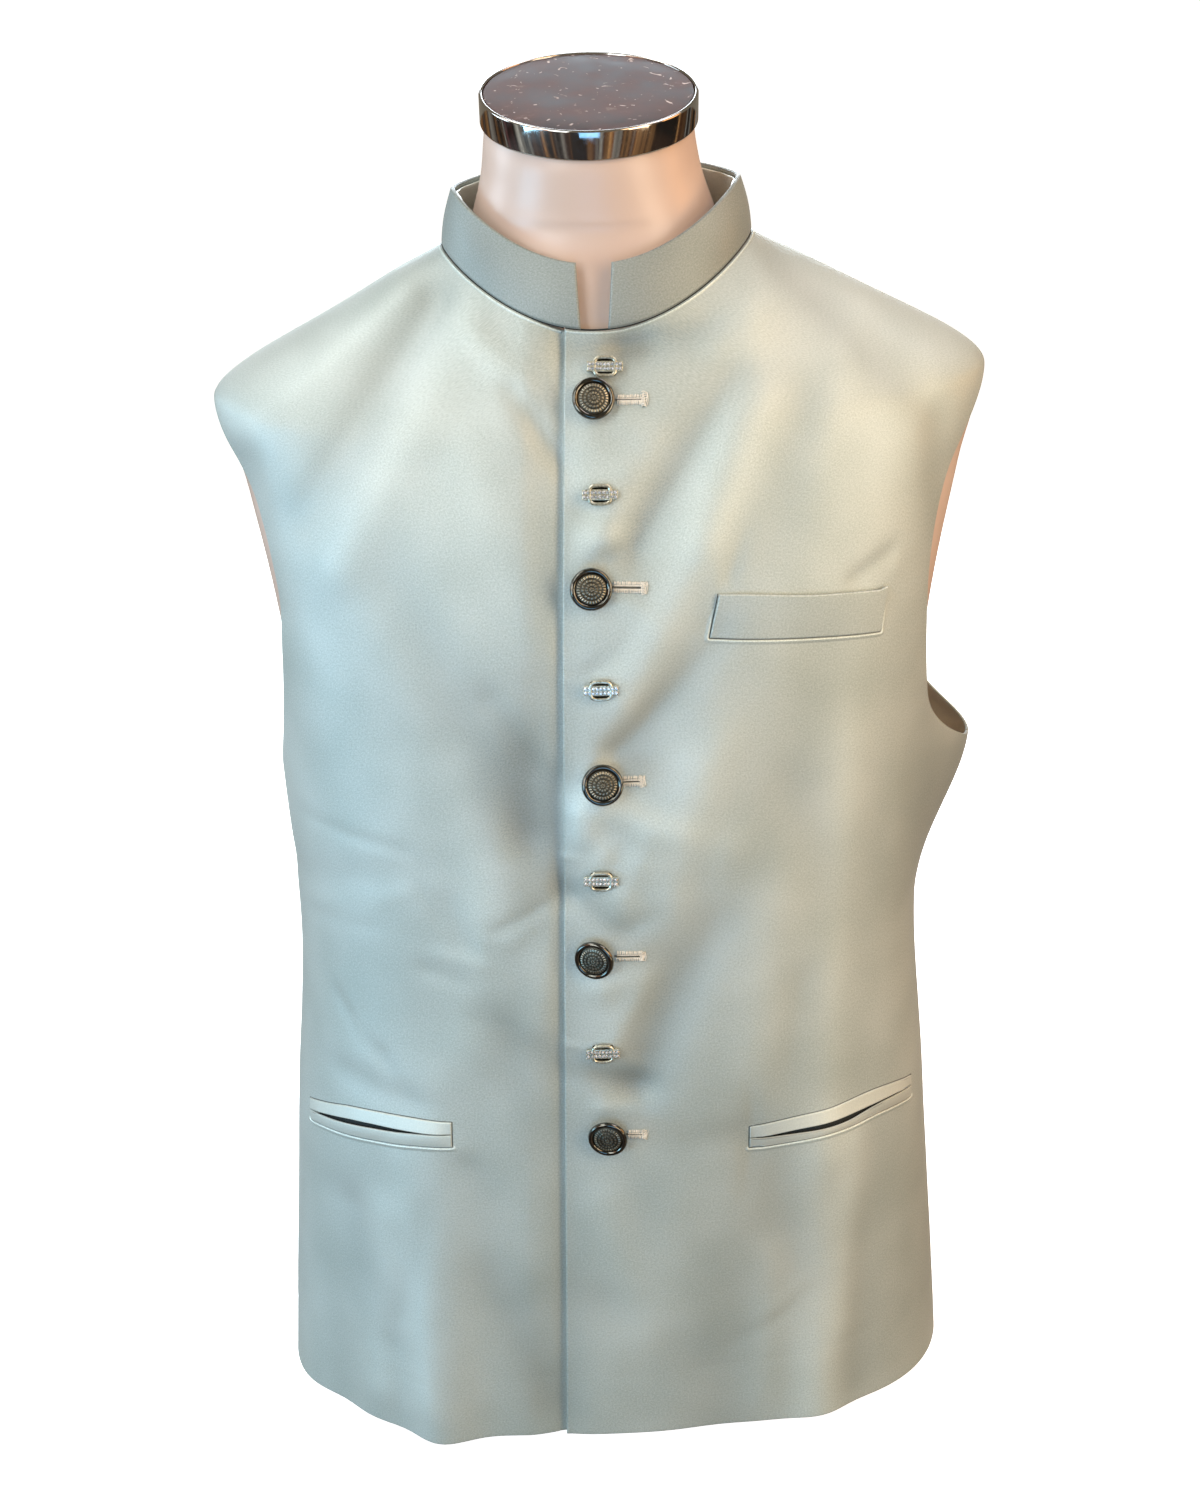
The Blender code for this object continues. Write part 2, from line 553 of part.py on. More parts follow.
def link(number, look):
    """A small cast link: a bar for two rows of stones through an open rounded frame."""
    x, z = LINKS[number - 1]
    outer = rounded_rectangle(LINK_FRAME_WIDTH, LINK_FRAME_HEIGHT, 3.0)
    inner = rounded_rectangle(LINK_FRAME_WIDTH - 3.2, LINK_FRAME_HEIGHT - 3.2, 1.8)
    shape = bmesh.new()
    loops = []
    for outline, height in ((outer, 0.0), (outer, 2.4), (inner, 2.4), (inner, 0.0)):
        loops.append([shape.verts.new((px * MM, py * MM, height * MM)) for px, py in outline])
    count = len(outer)
    for low, high in zip(loops, loops[1:] + loops[:1]):
        for k in range(count):
            j = (k + 1) % count
            shape.faces.new((low[k], low[j], high[j], high[k]))
    mesh = bpy.data.meshes.new(f"link_{number}")
    shape.to_mesh(mesh)
    shape.free()
    frame = new_object(f"link_{number}", mesh, look)

    bpy.ops.mesh.primitive_cube_add(size=1)
    bar = bpy.context.object
    bar.name = f"link_bar_{number}"
    bar.data.transform(Matrix.Diagonal((LINK_LENGTH * MM, 5.8 * MM, 1.5 * MM, 1)))
    bar.data.transform(Matrix.Translation((0, 0, 0.95 * MM)))
    bar.hide_render = True
    bar.display_type = "WIRE"
    place = on_front(x, z, LAY_GAP)
    mesh.transform(place)
    bar.data.transform(place)
    join = frame.modifiers.new("bar", "BOOLEAN")
    join.operation = "UNION"
    join.object = bar
    return frame


# ---------------------------------------------------------------- the dress form
def form_rings(count):
    """Rings of the form's skin from the foot to the neck, in millimetres."""
    turn = np.linspace(0, 2 * np.pi, count, endpoint=False)
    wrapped = np.where(turn > np.pi, turn - 2 * np.pi, turn)
    rings = []
    b = FORM_BASE
    for grow, z in ((-5, 0.0), (0, FORM_FOOT_Z)):
        x, y = rounded(wrapped, b["half_width"] + grow, b["front_depth"] + grow,
                       b["back_depth"] + grow, b["square"])
        rings.append(np.stack([x + JACKET_SHIFT, y, z + 0 * x], -1))
    for v in (0.04, 0.10, 0.18, 0.26, 0.33, 0.40, 0.47, 0.53, 0.59, 0.65, 0.71, 0.76, 0.80,
              0.84, 0.87, 0.90, 0.94, 0.97, 1.0):
        level = np.full_like(wrapped, v)
        blend = np.abs(np.sin(wrapped)) ** 8
        deep = section("form_side", level) * blend + section("form_end", level) * (1 - blend)
        beside = smooth((v - 0.5) / 0.1) * smooth((SECTIONS["tip"].v - 0.01 - v) / 0.04)
        deep = deep + FORM_LEAN * blend * (wrapped < 0) * beside
        rings.append(hang(body_point(wrapped, level)
                          - body_normal(wrapped, level) * deep[:, None]))
    for k, ring in enumerate(NECK):
        x, y = rounded(wrapped, ring.half_width, ring.front_depth, ring.back_depth, 2.0)
        tilt = math.radians(ring.lean_deg)
        shift = JACKET_SHIFT * (1 - (k + 1) / len(NECK))
        rings.append(np.stack([x + shift, ring.middle_y + y * math.cos(tilt),
                               ring.z + y * math.sin(tilt)], -1))
    return rings


def cap_frame():
    """The tilted frame of the neck cap: origin at the middle of its top edge."""
    return Matrix.Translation(CAP_CENTRE) @ Matrix.Rotation(CAP_TILT, 4, "X")


def form_body(look):
    """The torso and neck as one closed skin, flat below and flat under the cap."""
    sides = 40
    rings = form_rings(sides)
    frame = cap_frame()
    turn = np.linspace(0, 2 * np.pi, sides, endpoint=False)
    top = []
    for a in turn:
        local = Vector((58.5 * math.sin(a), -58.5 * math.cos(a), -CAP_HEIGHT - LAY_GAP)) * MM
        top.append(np.array(frame @ local) / MM)
    rings.append(np.array(top))
    points = np.concatenate(rings) * MM
    faces = []
    for k in range(len(rings) - 1):
        for j in range(sides):
            a, b = k * sides + j, k * sides + (j + 1) % sides
            faces.append((a, b, b + sides, a + sides))
    faces.append(tuple(range(sides))[::-1])
    last = (len(rings) - 1) * sides
    faces.append(tuple(last + j for j in range(sides)))
    mesh = bpy.data.meshes.new("form_body")
    mesh.from_pydata(points.tolist(), [], faces)
    mesh.shade_smooth()
    mesh.set_sharp_from_angle(angle=math.radians(50))
    return new_object("form_body", mesh, look)


def form_cap(chrome, disc):
    """A polished cap with a shallow seat, and the dark disc that lies in it."""
    seat, lip, edge = 2.6, 2.0, 1.0
    turned("form_cap_rim", (
        (0, -CAP_HEIGHT), (CAP_RADIUS - edge, -CAP_HEIGHT), (CAP_RADIUS, edge - CAP_HEIGHT),
        (CAP_RADIUS, -edge), (CAP_RADIUS - edge * 0.5, -0.2), (CAP_RADIUS - lip, 0),
        (CAP_RADIUS - lip, -seat), (0, -seat)), 48, chrome, cap_frame())
    turned("form_cap_disc", (
        (0, LAY_GAP - seat), (CAP_RADIUS - lip - LAY_GAP, LAY_GAP - seat),
        (CAP_RADIUS - lip - LAY_GAP, -0.6), (0, -0.6)), 48, disc, cap_frame())


# ---------------------------------------------------------------- assembly
def clear_scene():
    for old in list(bpy.data.objects):
        bpy.data.objects.remove(old, do_unlink=True)


def main():
    clear_scene()
    satin = material("sage satin", (0.46, 0.53, 0.51), 0.42)
    lining = material("sage lining", (0.40, 0.47, 0.42), 0.35)
    gunmetal = material("gunmetal", (0.13, 0.14, 0.13), 0.3, 0.9)
    silver = material("antique silver", (0.52, 0.53, 0.48), 0.3, 0.9)
    skin = material("form skin", (0.83, 0.74, 0.69), 0.5)
    chrome = material("chrome", (0.6, 0.6, 0.6), 0.08, 1.0)
    disc = material("dark disc", (0.12, 0.09, 0.09), 0.35)
    front_left(satin)
    front_right(satin)
    back(satin)
    collar(satin)
    collar_lining(lining)
    breast_welt(satin)
    for side in ("left", "right"):
        lower_pocket(side, satin)
    buttons(gunmetal)
    for number in range(1, len(LINKS) + 1):
        link(number, silver)
    form_body(skin)
    form_cap(chrome, disc)


main()
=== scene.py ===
# %% [markdown]
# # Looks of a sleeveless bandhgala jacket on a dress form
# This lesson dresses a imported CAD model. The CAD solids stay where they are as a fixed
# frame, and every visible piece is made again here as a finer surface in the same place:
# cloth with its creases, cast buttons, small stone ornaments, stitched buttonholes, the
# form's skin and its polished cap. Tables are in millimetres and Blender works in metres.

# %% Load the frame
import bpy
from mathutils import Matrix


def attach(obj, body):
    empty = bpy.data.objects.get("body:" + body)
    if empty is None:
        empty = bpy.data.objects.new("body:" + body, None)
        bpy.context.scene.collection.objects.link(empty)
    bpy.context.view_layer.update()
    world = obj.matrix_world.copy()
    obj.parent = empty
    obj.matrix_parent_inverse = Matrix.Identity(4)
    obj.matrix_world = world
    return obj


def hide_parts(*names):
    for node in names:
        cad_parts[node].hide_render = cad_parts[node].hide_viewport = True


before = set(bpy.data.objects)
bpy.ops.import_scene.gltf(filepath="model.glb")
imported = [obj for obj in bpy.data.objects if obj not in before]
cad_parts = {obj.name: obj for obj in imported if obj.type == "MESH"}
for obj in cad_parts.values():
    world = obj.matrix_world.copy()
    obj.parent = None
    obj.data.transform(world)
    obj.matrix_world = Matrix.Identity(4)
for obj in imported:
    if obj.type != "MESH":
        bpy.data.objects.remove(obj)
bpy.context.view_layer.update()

import math
from collections import namedtuple

import bpy
import numpy as np
from mathutils import Matrix, Vector

MM = 0.001

# %% [markdown]
# ## Camera
# The photograph looks down on the jacket by about twenty degrees from a little above the
# form's cap. A focal length, a place and a pitch found by laying the outline of the model
# over the picture give the same view. The whole 4:5 frame is set by the sensor's height.

# %% Camera
CAMERA_PLACE, PITCH_DOWN, ROLL = (0, -1.275, 0.906), 20, -1      # metres and degrees
camera = bpy.data.objects.new("camera", bpy.data.cameras.new("camera"))
camera.data.sensor_fit = "VERTICAL"
camera.data.sensor_height = 36
camera.data.lens = 52.8
camera.matrix_world = (Matrix.Translation(CAMERA_PLACE)
                       @ Matrix.Rotation(math.radians(90 - PITCH_DOWN), 4, "X")
                       @ Matrix.Rotation(math.radians(ROLL), 4, "Z"))
bpy.context.scene.collection.objects.link(camera)
bpy.context.scene.camera = camera

# %% [markdown]
# ## One mesh maker
# Every piece is a set of points worked out by numpy and blocks of faces with three or four
# corners. Blender can take such arrays whole with foreach_set, which is far quicker than
# adding corners one by one. A block carries the number of its material, and a piece may
# carry a place on its cloth for every point (a UV map in millimetres) and a value for wear
# on metal, or for painted shade and highlight on cloth. A few short functions do what nearly
# every piece needs: points from coordinates, angles once round, and the faces of grids and
# of closed, turned skins.

# %% Mesh maker
def put_mesh(name, points, blocks, looks, marks=None, places=None, wear_and_painted_shade=None, sharp=50):
    """A mesh object from points in millimetres and blocks of faces. marks give each block's
    material, places each point's place on the cloth, and wear_and_painted_shade one value for
    each point: how bright metal is rubbed, or, on cloth, its painted shade and highlight (below
    0 darker, above 0 paler)."""
    mesh = bpy.data.meshes.new(name)
    corners = np.concatenate([b.ravel() for b in blocks]).astype(np.int32)
    sizes = np.concatenate([np.full(len(b), b.shape[1]) for b in blocks])
    mesh.vertices.add(len(points))
    mesh.loops.add(len(corners))
    mesh.polygons.add(len(sizes))
    mesh.vertices.foreach_set("co", (points * MM).astype(np.float32).ravel())
    mesh.loops.foreach_set("vertex_index", corners)
    mesh.polygons.foreach_set("loop_start", (np.cumsum(sizes) - sizes).astype(np.int32))
    for look in looks:
        mesh.materials.append(look)
    marks = marks or [0] * len(blocks)
    mesh.polygons.foreach_set("material_index", np.concatenate(
        [np.full(len(b), m) for b, m in zip(blocks, marks)]).astype(np.int32))
    mesh.update(calc_edges=True)
    if places is not None:
        mesh.uv_layers.new(name="cloth").data.foreach_set(
            "uv", places[corners].astype(np.float32).ravel())
    if wear_and_painted_shade is not None:
        mesh.attributes.new("wear_and_painted_shade", "FLOAT", "POINT").data.foreach_set(
            "value", wear_and_painted_shade.astype(np.float32).ravel())
    mesh.shade_smooth()
    if sharp:
        mesh.set_sharp_from_angle(angle=math.radians(sharp))
    made = bpy.data.objects.new(name, mesh)
    bpy.context.scene.collection.objects.link(made)
    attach(made, "root")
    print(f"{name}: {len(points)} points, {int((sizes - 2).sum())} triangles")
    return made

# %% Points and faces
def xyz(x, y, z):
    """Points from three coordinates of any shapes that fit together."""
    return np.stack(np.broadcast_arrays(x, y, z), -1)


def full_turn(count):
    """So many angles once round, the last one a step short of the first."""
    return np.linspace(0, 2 * np.pi, count, endpoint=False)


def between(start, end, share):
    """The value or place at a share of the way from start to end."""
    return start + (end - start) * share


def grid_faces(index):
    """Quads of a grid of point numbers, facing up where columns run right and rows up."""
    a, b, c, d = index[:-1, :-1], index[:-1, 1:], index[1:, 1:], index[1:, :-1]
    return np.stack([a, b, c, d], -1).reshape(-1, 4)


def closed_rings(count, sides):
    """Faces of a closed skin of rings between two single points: first the lower pole, then
    count rings of so many sides, then the upper pole."""
    ring = 1 + np.arange(count * sides).reshape(count, sides)
    ring = np.concatenate([ring, ring[:, :1]], 1)
    low, high = np.zeros(sides, int), np.full(sides, 1 + count * sides)
    return [grid_faces(ring), np.stack([low, ring[0, 1:], ring[0, :-1]], -1),
            np.stack([high, ring[-1, :-1], ring[-1, 1:]], -1)]


def with_poles(rings, low, high):
    """Points for closed_rings: the pole on the axis at low, the rings, the pole at high."""
    return np.concatenate([[(0, 0, low)], np.reshape(rings, (-1, 3)), [(0, 0, high)]])


def repeated(blocks, count, each):
    """The faces of one small solid with each points, for so many copies of it."""
    shift = (np.arange(count) * each)[:, None, None]
    return [(block[None] + shift).reshape(-1, block.shape[1]) for block in blocks]

# %% [markdown]
# ## Colours and nodes
# A colour is noted as the sRGB hex value that one would pick on a screen. The renderer
# works in linear light, so one function converts it. One other function adds a node with
# its settings and links. Most of the materials here are plain values with one noise over
# them, in the tone, the roughness or the height, so a third function makes those.

# %% Colour and node helpers
def linear(code):
    """sRGB hex to linear: divide by 12.92 below 0.04045, else ((c + 0.055) / 1.055) ** 2.4."""
    c = np.array([int(code[k:k + 2], 16) for k in (0, 2, 4)]) / 255
    return (*np.where(c <= 0.04045, c / 12.92, ((c + 0.055) / 1.055) ** 2.4).tolist(), 1.0)


def add(tree, kind, inputs=(), stops=(), **settings):
    """One node: its settings, its ramp's stops (place and hex, in order), and its inputs as
    values or as nodes' sockets."""
    node = tree.nodes.new("ShaderNode" + kind)
    for key, value in settings.items():
        setattr(node, key, value)
    for k, (place, code) in enumerate(stops):
        mark = node.color_ramp.elements[k] if k < 2 else node.color_ramp.elements.new(place)
        mark.position, mark.color = place, linear(code)
    for key, value in dict(inputs).items():
        if isinstance(value, bpy.types.NodeSocket):
            tree.links.new(value, node.inputs[key])
        else:
            node.inputs[key].default_value = value
    return node


def noise(tree, scale, detail, kind="Noise", **more):
    """A noise on the object's own places, in metres; more are its other inputs."""
    place = add(tree, "TexCoord").outputs["Object"]
    return add(tree, "Tex" + kind, {"Vector": place, "Scale": scale, "Detail": detail, **more})


def feed(shader, **nodes):
    """Link each node's first output to the shader's input of that name."""
    for key, node in nodes.items():
        shader.id_data.links.new(node.outputs[0], shader.inputs[key.replace("_", " ")])


def span(tree, value, low, high, to_low, to_high):
    """A value moved from one range to another, and held there."""
    return add(tree, "MapRange", {"Value": value, "From Min": low, "From Max": high,
                                  "To Min": to_low, "To Max": to_high})


def start_material(name, colour, roughness, **more):
    """A material with its shader's own plain values; returns it, its tree and its shader."""
    made = bpy.data.materials.new(name)
    made.use_nodes = True
    shader = made.node_tree.nodes["Principled BSDF"]
    shader.inputs["Base Color"].default_value = linear(colour)
    shader.inputs["Roughness"].default_value = roughness
    for key, value in more.items():
        shader.inputs[key.replace("_", " ")].default_value = value
    return made, made.node_tree, shader


def speckled(start, scale, detail, stops=(), rough=None, bump=None, **more):
    """One noise over a started material: a ramp of tones, a span of roughness (from low,
    from high, to low, to high) and a bump (strength, metres). Returns the material."""
    made, tree, shader = start
    value = noise(tree, scale, detail, **more).outputs[0]
    if stops:
        feed(shader, Base_Color=add(tree, "ValToRGB", {0: value}, stops))
    if rough:
        feed(shader, Roughness=span(tree, value, *rough))
    if bump:
        feed(shader, Normal=add(tree, "Bump", {"Height": value, "Strength": bump[0],
                                               "Distance": bump[1]}))
    return made

# %% [markdown]
# ## The suiting
# The real cloth is a satin-faced suiting in pale sage: a dense weave with long floats on
# its face, so it shines softly and takes the colour of the light that it leans towards. It
# could be a velvet shader or a thin glossy coat. A middling roughness, a third of the light
# thrown back in the cloth's own colour and some sheen at grazing angles give the same
# broad, milky glow. The threads lie 0.35 mm apart, which is finer than a pixel here, so the
# twill is drawn at 0.8 mm and kept faint.

# %% Suiting material
TWILL_BAND = 0.628          # bands for each unit of the wave's scale
TWILL_SHARE, PAINTED_SHADE_SHARE = 0.45, 0.16


def suiting(name, light, dark, shine=0.52, weave_mm=0.8, floats=0.32):
    """Satin-faced worsted: a diagonal weave on the cloth's own places in millimetres, fibre
    grain of about 1 mm over it, and slow clouds in the tone, 70 mm across. Painted shade and
    highlight, read from the wear_and_painted_shade attribute, make the cloth paler on a crest
    and darker in a trough: tone * (1 + share * painted_shade). floats is the part of light that
    the long smooth threads throw back in the cloth's own colour."""
    made, tree, shader = start_material(name, light, shine, Sheen_Weight=0.22,
                                        Sheen_Roughness=0.38, IOR=1.46, Metallic=floats)
    cloth_place = add(tree, "UVMap", uv_map="cloth").outputs[0]
    clouds = noise(tree, 14.0, 2.0, Roughness=0.5)
    grain = add(tree, "TexNoise", {"Vector": cloth_place, "Scale": 0.95, "Detail": 3.0,
                                   "Roughness": 0.75})
    both = add(tree, "Math", {0: clouds.outputs[0], 1: 0.5, 2: grain.outputs[0]},
               operation="MULTIPLY_ADD")
    tone = add(tree, "ValToRGB", {0: span(tree, both.outputs[0], 0.57, 0.93, 0, 1).outputs[0]},
               ((0.0, dark), (1.0, light)))
    # Painted shade and highlight from the folds: darker in a trough, paler on a crest.
    painted_shade = add(tree, "Attribute", attribute_name="wear_and_painted_shade")
    lift = add(tree, "Math", {0: painted_shade.outputs["Fac"], 1: PAINTED_SHADE_SHARE, 2: 1.0},
               operation="MULTIPLY_ADD")
    tone = add(tree, "VectorMath", {0: tone.outputs[0], "Scale": lift.outputs[0]},
               operation="SCALE")
    twill = add(tree, "TexWave", {"Vector": cloth_place, "Scale": TWILL_BAND / weave_mm,
                                  "Distortion": 2.0, "Detail": 2.0, "Detail Scale": 1.6},
                bands_direction="DIAGONAL")
    height = add(tree, "Math", {0: twill.outputs["Fac"], 1: TWILL_SHARE, 2: grain.outputs[0]},
                 operation="MULTIPLY_ADD")
    feed(shader, Base_Color=tone, Normal=add(tree, "Bump", {
        "Height": height.outputs[0], "Strength": 0.4, "Distance": 0.00012}))
    return made


SATIN = suiting("sage satin-faced suiting", "bfc8c3", "9da8a2")
# A paler copy of the suiting for the jets: the paler colour is painted sheen.
SATIN_PAINTED_SHEEN = suiting("sage suiting, paler as painted sheen", "cdd4cc", "bec7c0")
LINING = suiting("pale acetate lining", "d6dad0", "c9cfc4", shine=0.30, weave_mm=0.9,
                 floats=0.15)
# Near-black cotton for the pocket bags and the tape under the collar seam: its dark colour is
# painted shade.
POCKETING_AS_SHADE = suiting("grey-green pocketing, dark as painted shade", "232b2a", "171e1e", shine=0.75,
                    floats=0.0)

# %% [markdown]
# ## The jacket's surface
# A fitted garment is close to a stack of rounded rings. The same section table that made
# the CAD solids is read here by a smooth curve, so a finer grid lies on the same form.
# Sewing patterns or a cloth simulation could make it too, but the shape of this one is
# known, and a formula keeps every panel on its solid.

# %% Sections
Section = namedtuple("Section", "v front_z side_z back_z half_width front_depth back_depth "
                     "square form_side form_end")
SECTIONS = (
    Section(0.00,  36,  31,  36, 215, 132, 124, 2.45, 40, 34),   # hem
    Section(0.11, 116, 116, 116, 209, 131, 124, 2.45, 28, 24),   # low hip
    Section(0.26, 236, 236, 236, 200, 129, 114, 2.42, 20, 17),   # pockets
    Section(0.40, 345, 347, 346, 192, 125, 100, 2.36, 16, 13),   # waist
    Section(0.53, 440, 446, 448, 197, 122, 101, 2.32, 12, 11),   # underarm
    Section(0.65, 535, 546, 550, 203, 118, 106, 2.30,  6, 10),   # chest
    Section(0.76, 600, 618, 624, 212, 108, 105, 2.26,  2, 10),   # upper chest
    Section(0.85, 645, 673, 676, 223,  95,  93, 2.15, 2.5, 9),   # shoulder tip
    Section(0.88, 658, 691, 695, 206,  91,  89, 2.10, 4.4, 8),   # outer shoulder
    Section(0.93, 681, 721, 724, 149,  82,  77, 2.05, 2.8, 8),   # shoulder
    Section(1.00, 711, 753, 756,  88,  70,  62, 2.00,  6,  8),   # neckline
)
CLOTH = 2.0                 # shell, canvas and lining together
SEAM_GAP = 0.34             # between two pieces sewn edge to edge
LAY_GAP = 0.5               # between a piece and the panel that it lies on
JACKET_SHIFT = 3.0          # the jacket hangs this far to its wearer's left
SHEAR = 0.028               # and that shoulder sits higher
NECK_MARGIN = 0.0003        # in v, what the panels stop short of the neckline
NECK_WIDTH = SECTIONS[-1].half_width

# %% Smooth curves
def smooth(x):
    """0 before 0, 1 after 1 and the even curve 3x^2 - 2x^3 between."""
    x = np.clip(x, 0, 1)
    return x * x * (3 - 2 * x)


def spline(knots, values, at):
    """A cubic through the knots whose slope at each is that between its neighbours."""
    knots, values = np.asarray(knots, float), np.asarray(values, float)
    steps = np.diff(values) / np.diff(knots)
    slopes = np.empty_like(values)
    slopes[1:-1] = (values[2:] - values[:-2]) / (knots[2:] - knots[:-2])
    slopes[0], slopes[-1] = steps[0], steps[-1]
    at = np.clip(at, knots[0], knots[-1])
    i = np.clip(np.searchsorted(knots, at, side="right") - 1, 0, len(knots) - 2)
    width = knots[i + 1] - knots[i]
    t = (at - knots[i]) / width
    return ((2 * t**3 - 3 * t**2 + 1) * values[i] + (t**3 - 2 * t**2 + t) * width * slopes[i]
            + (3 * t**2 - 2 * t**3) * values[i + 1] + (t**3 - t**2) * width * slopes[i + 1])

# %% Body surface
def column_of(rows, column):
    """One column of a table."""
    return [getattr(row, column) for row in rows]


def section(column, v):
    """One column of the section table at v."""
    return spline(column_of(SECTIONS, "v"), column_of(SECTIONS, column), v)


def rounded(turn, half_width, front_depth, back_depth, square):
    """A squared ellipse: x = width sin(turn) r and y = -depth cos(turn) r, where r is
    (|cos|^n + |sin|^n)^(-1/n); turn is 0 in front and grows to +X."""
    c, s = np.cos(turn), np.sin(turn)
    reach = (np.abs(c) ** square + np.abs(s) ** square) ** (-1 / square)
    return half_width * s * reach, -np.where(c > 0, front_depth, back_depth) * c * reach


def ring_height(turn, front_z, side_z, back_z):
    """Height along a ring: it follows cos^2 from the side to the front or the back."""
    c = np.cos(turn)
    return between(side_z, np.where(c > 0, front_z, back_z), c * c)


def hang(points):
    """The jacket's small shift and shear on the form."""
    out = points.copy()
    out[..., 2] += SHEAR * out[..., 0]
    out[..., 0] += JACKET_SHIFT
    return out


def body_point(turn, v):
    """The surface through the sections."""
    shape = (section(c, v) for c in ("half_width", "front_depth", "back_depth", "square"))
    heights = (section(c, v) for c in ("front_z", "side_z", "back_z"))
    return xyz(*rounded(turn, *shape), ring_height(turn, *heights))


def body_normal(turn, v):
    """Its outward direction: the cross product of the differences across and up."""
    step = 1e-3
    across = body_point(turn + step, v) - body_point(turn - step, v)
    up = body_point(turn, np.minimum(v + step, 1)) - body_point(turn, np.maximum(v - step, 0))
    n = np.cross(across, up)
    return n / np.linalg.norm(n, axis=-1, keepdims=True)

# %% [markdown]
# ## Folds and creases
# Worn cloth is never even. The largest folds are in the CAD solids already, and their table
# is repeated. The finer ones are only here: pulls at the buttons and ornaments, drags from
# the pocket corners, soft crush marks at the waist, the line where the hem is turned up, and
# the roll of the front edge. Each is one row: a line on the front (-1) or back (+1), its
# half-width and its height at both ends, negative for a trough. A simulation would give
# folds of its own, and these are meant to be the ones of this jacket.

# %% Fold tables
Fold = namedtuple("Fold", "face x0 z0 x1 z1 half_width height0 height1")
LARGE_FOLDS = (
    Fold(-1, -107,  26, -104, 265, 21,  14.0,  2.0),   # hem ridge, right
    Fold(-1, -182,  30, -174, 175, 22,  -8.0, -1.5),   # hem trough, right
    Fold(-1,  128,  30,  129, 215, 18,   4.5,  1.5),   # hem ridge, left
    Fold(-1,   64,  24,   80, 150, 26,  -2.5, -1.0),   # hem trough, left
    Fold(-1,  -92, 726, -168, 616, 12,  -3.2, -1.6),   # neck drape, right
    Fold(-1, -112, 728, -186, 664, 13,   1.6,  2.0),   # neck ridge, right
    Fold(-1,  -76, 708, -148, 590, 15,   1.2,  1.6),   # neck ridge, lower right
    Fold(-1, -112, 572,  -46, 434, 20,  -1.6, -3.2),   # chest drape, right
    Fold(-1,  -58, 408,  -80, 306, 18,   1.4,  1.6),   # belly ridge, right
    Fold(-1,  -68, 322,  -30, 288, 12,  -1.0, -1.6),   # placket drape, right
    Fold(-1, -182, 392, -112, 412, 13,  -2.0, -1.0),   # waist drape, right
    Fold(-1,   54, 690,   18, 614, 12,  -2.0, -2.4),   # collar drape, left
    Fold(-1,   84, 712,   58, 612, 14,   1.8,  1.4),   # collar ridge, left
    Fold(-1,  103, 742,  188, 656, 11,  -2.4, -1.2),   # shoulder drape, left
    Fold(-1,   58, 548,   18, 476, 13,  -1.2, -2.6),   # chest pull, left
    Fold(-1,   62, 480,   38, 396, 15,   1.8,  2.2),   # waist ridge, left
    Fold(-1,   52, 396,   10, 278, 14,  -2.0, -2.4),   # waist pull, left
    Fold(-1,  140, 468,  129, 215, 14,   1.0,  1.5),   # side ridge, left
    Fold( 1,   96, 690,   70, 560, 30,   2.0,  3.0),   # back blade, left
    Fold( 1,  -96, 690,  -70, 560, 30,   2.0,  3.0),   # back blade, right
    Fold( 1,    0, 640,    0, 420, 34,  -2.0, -4.0),   # back middle
    Fold( 1,   88, 732,  160, 610, 14,  -2.4, -1.2),   # back neck drape, left
    Fold( 1,  -88, 732, -160, 610, 14,  -2.4, -1.2),   # back neck drape, right
    Fold( 1,   56, 352,  150, 376, 15,  -2.6, -1.4),   # back waist, left
    Fold( 1,  -62, 346, -150, 368, 15,  -2.6, -1.4),   # back waist, right
    Fold( 1,   84,  24,   70, 240, 26,   6.0,  1.5),   # back hem wave, left
    Fold( 1,  -84,  24,  -70, 240, 26,   6.0,  1.5),   # back hem wave, right
    Fold( 1,    4,  24,    0, 260, 30,  -4.0, -1.0),   # back hem trough
)
SOFT_LIMIT = 4.6            # millimetres; higher ones are the waves of the hem
SOFT_FOLDS = [f for f in LARGE_FOLDS if abs(f.height0) < SOFT_LIMIT]
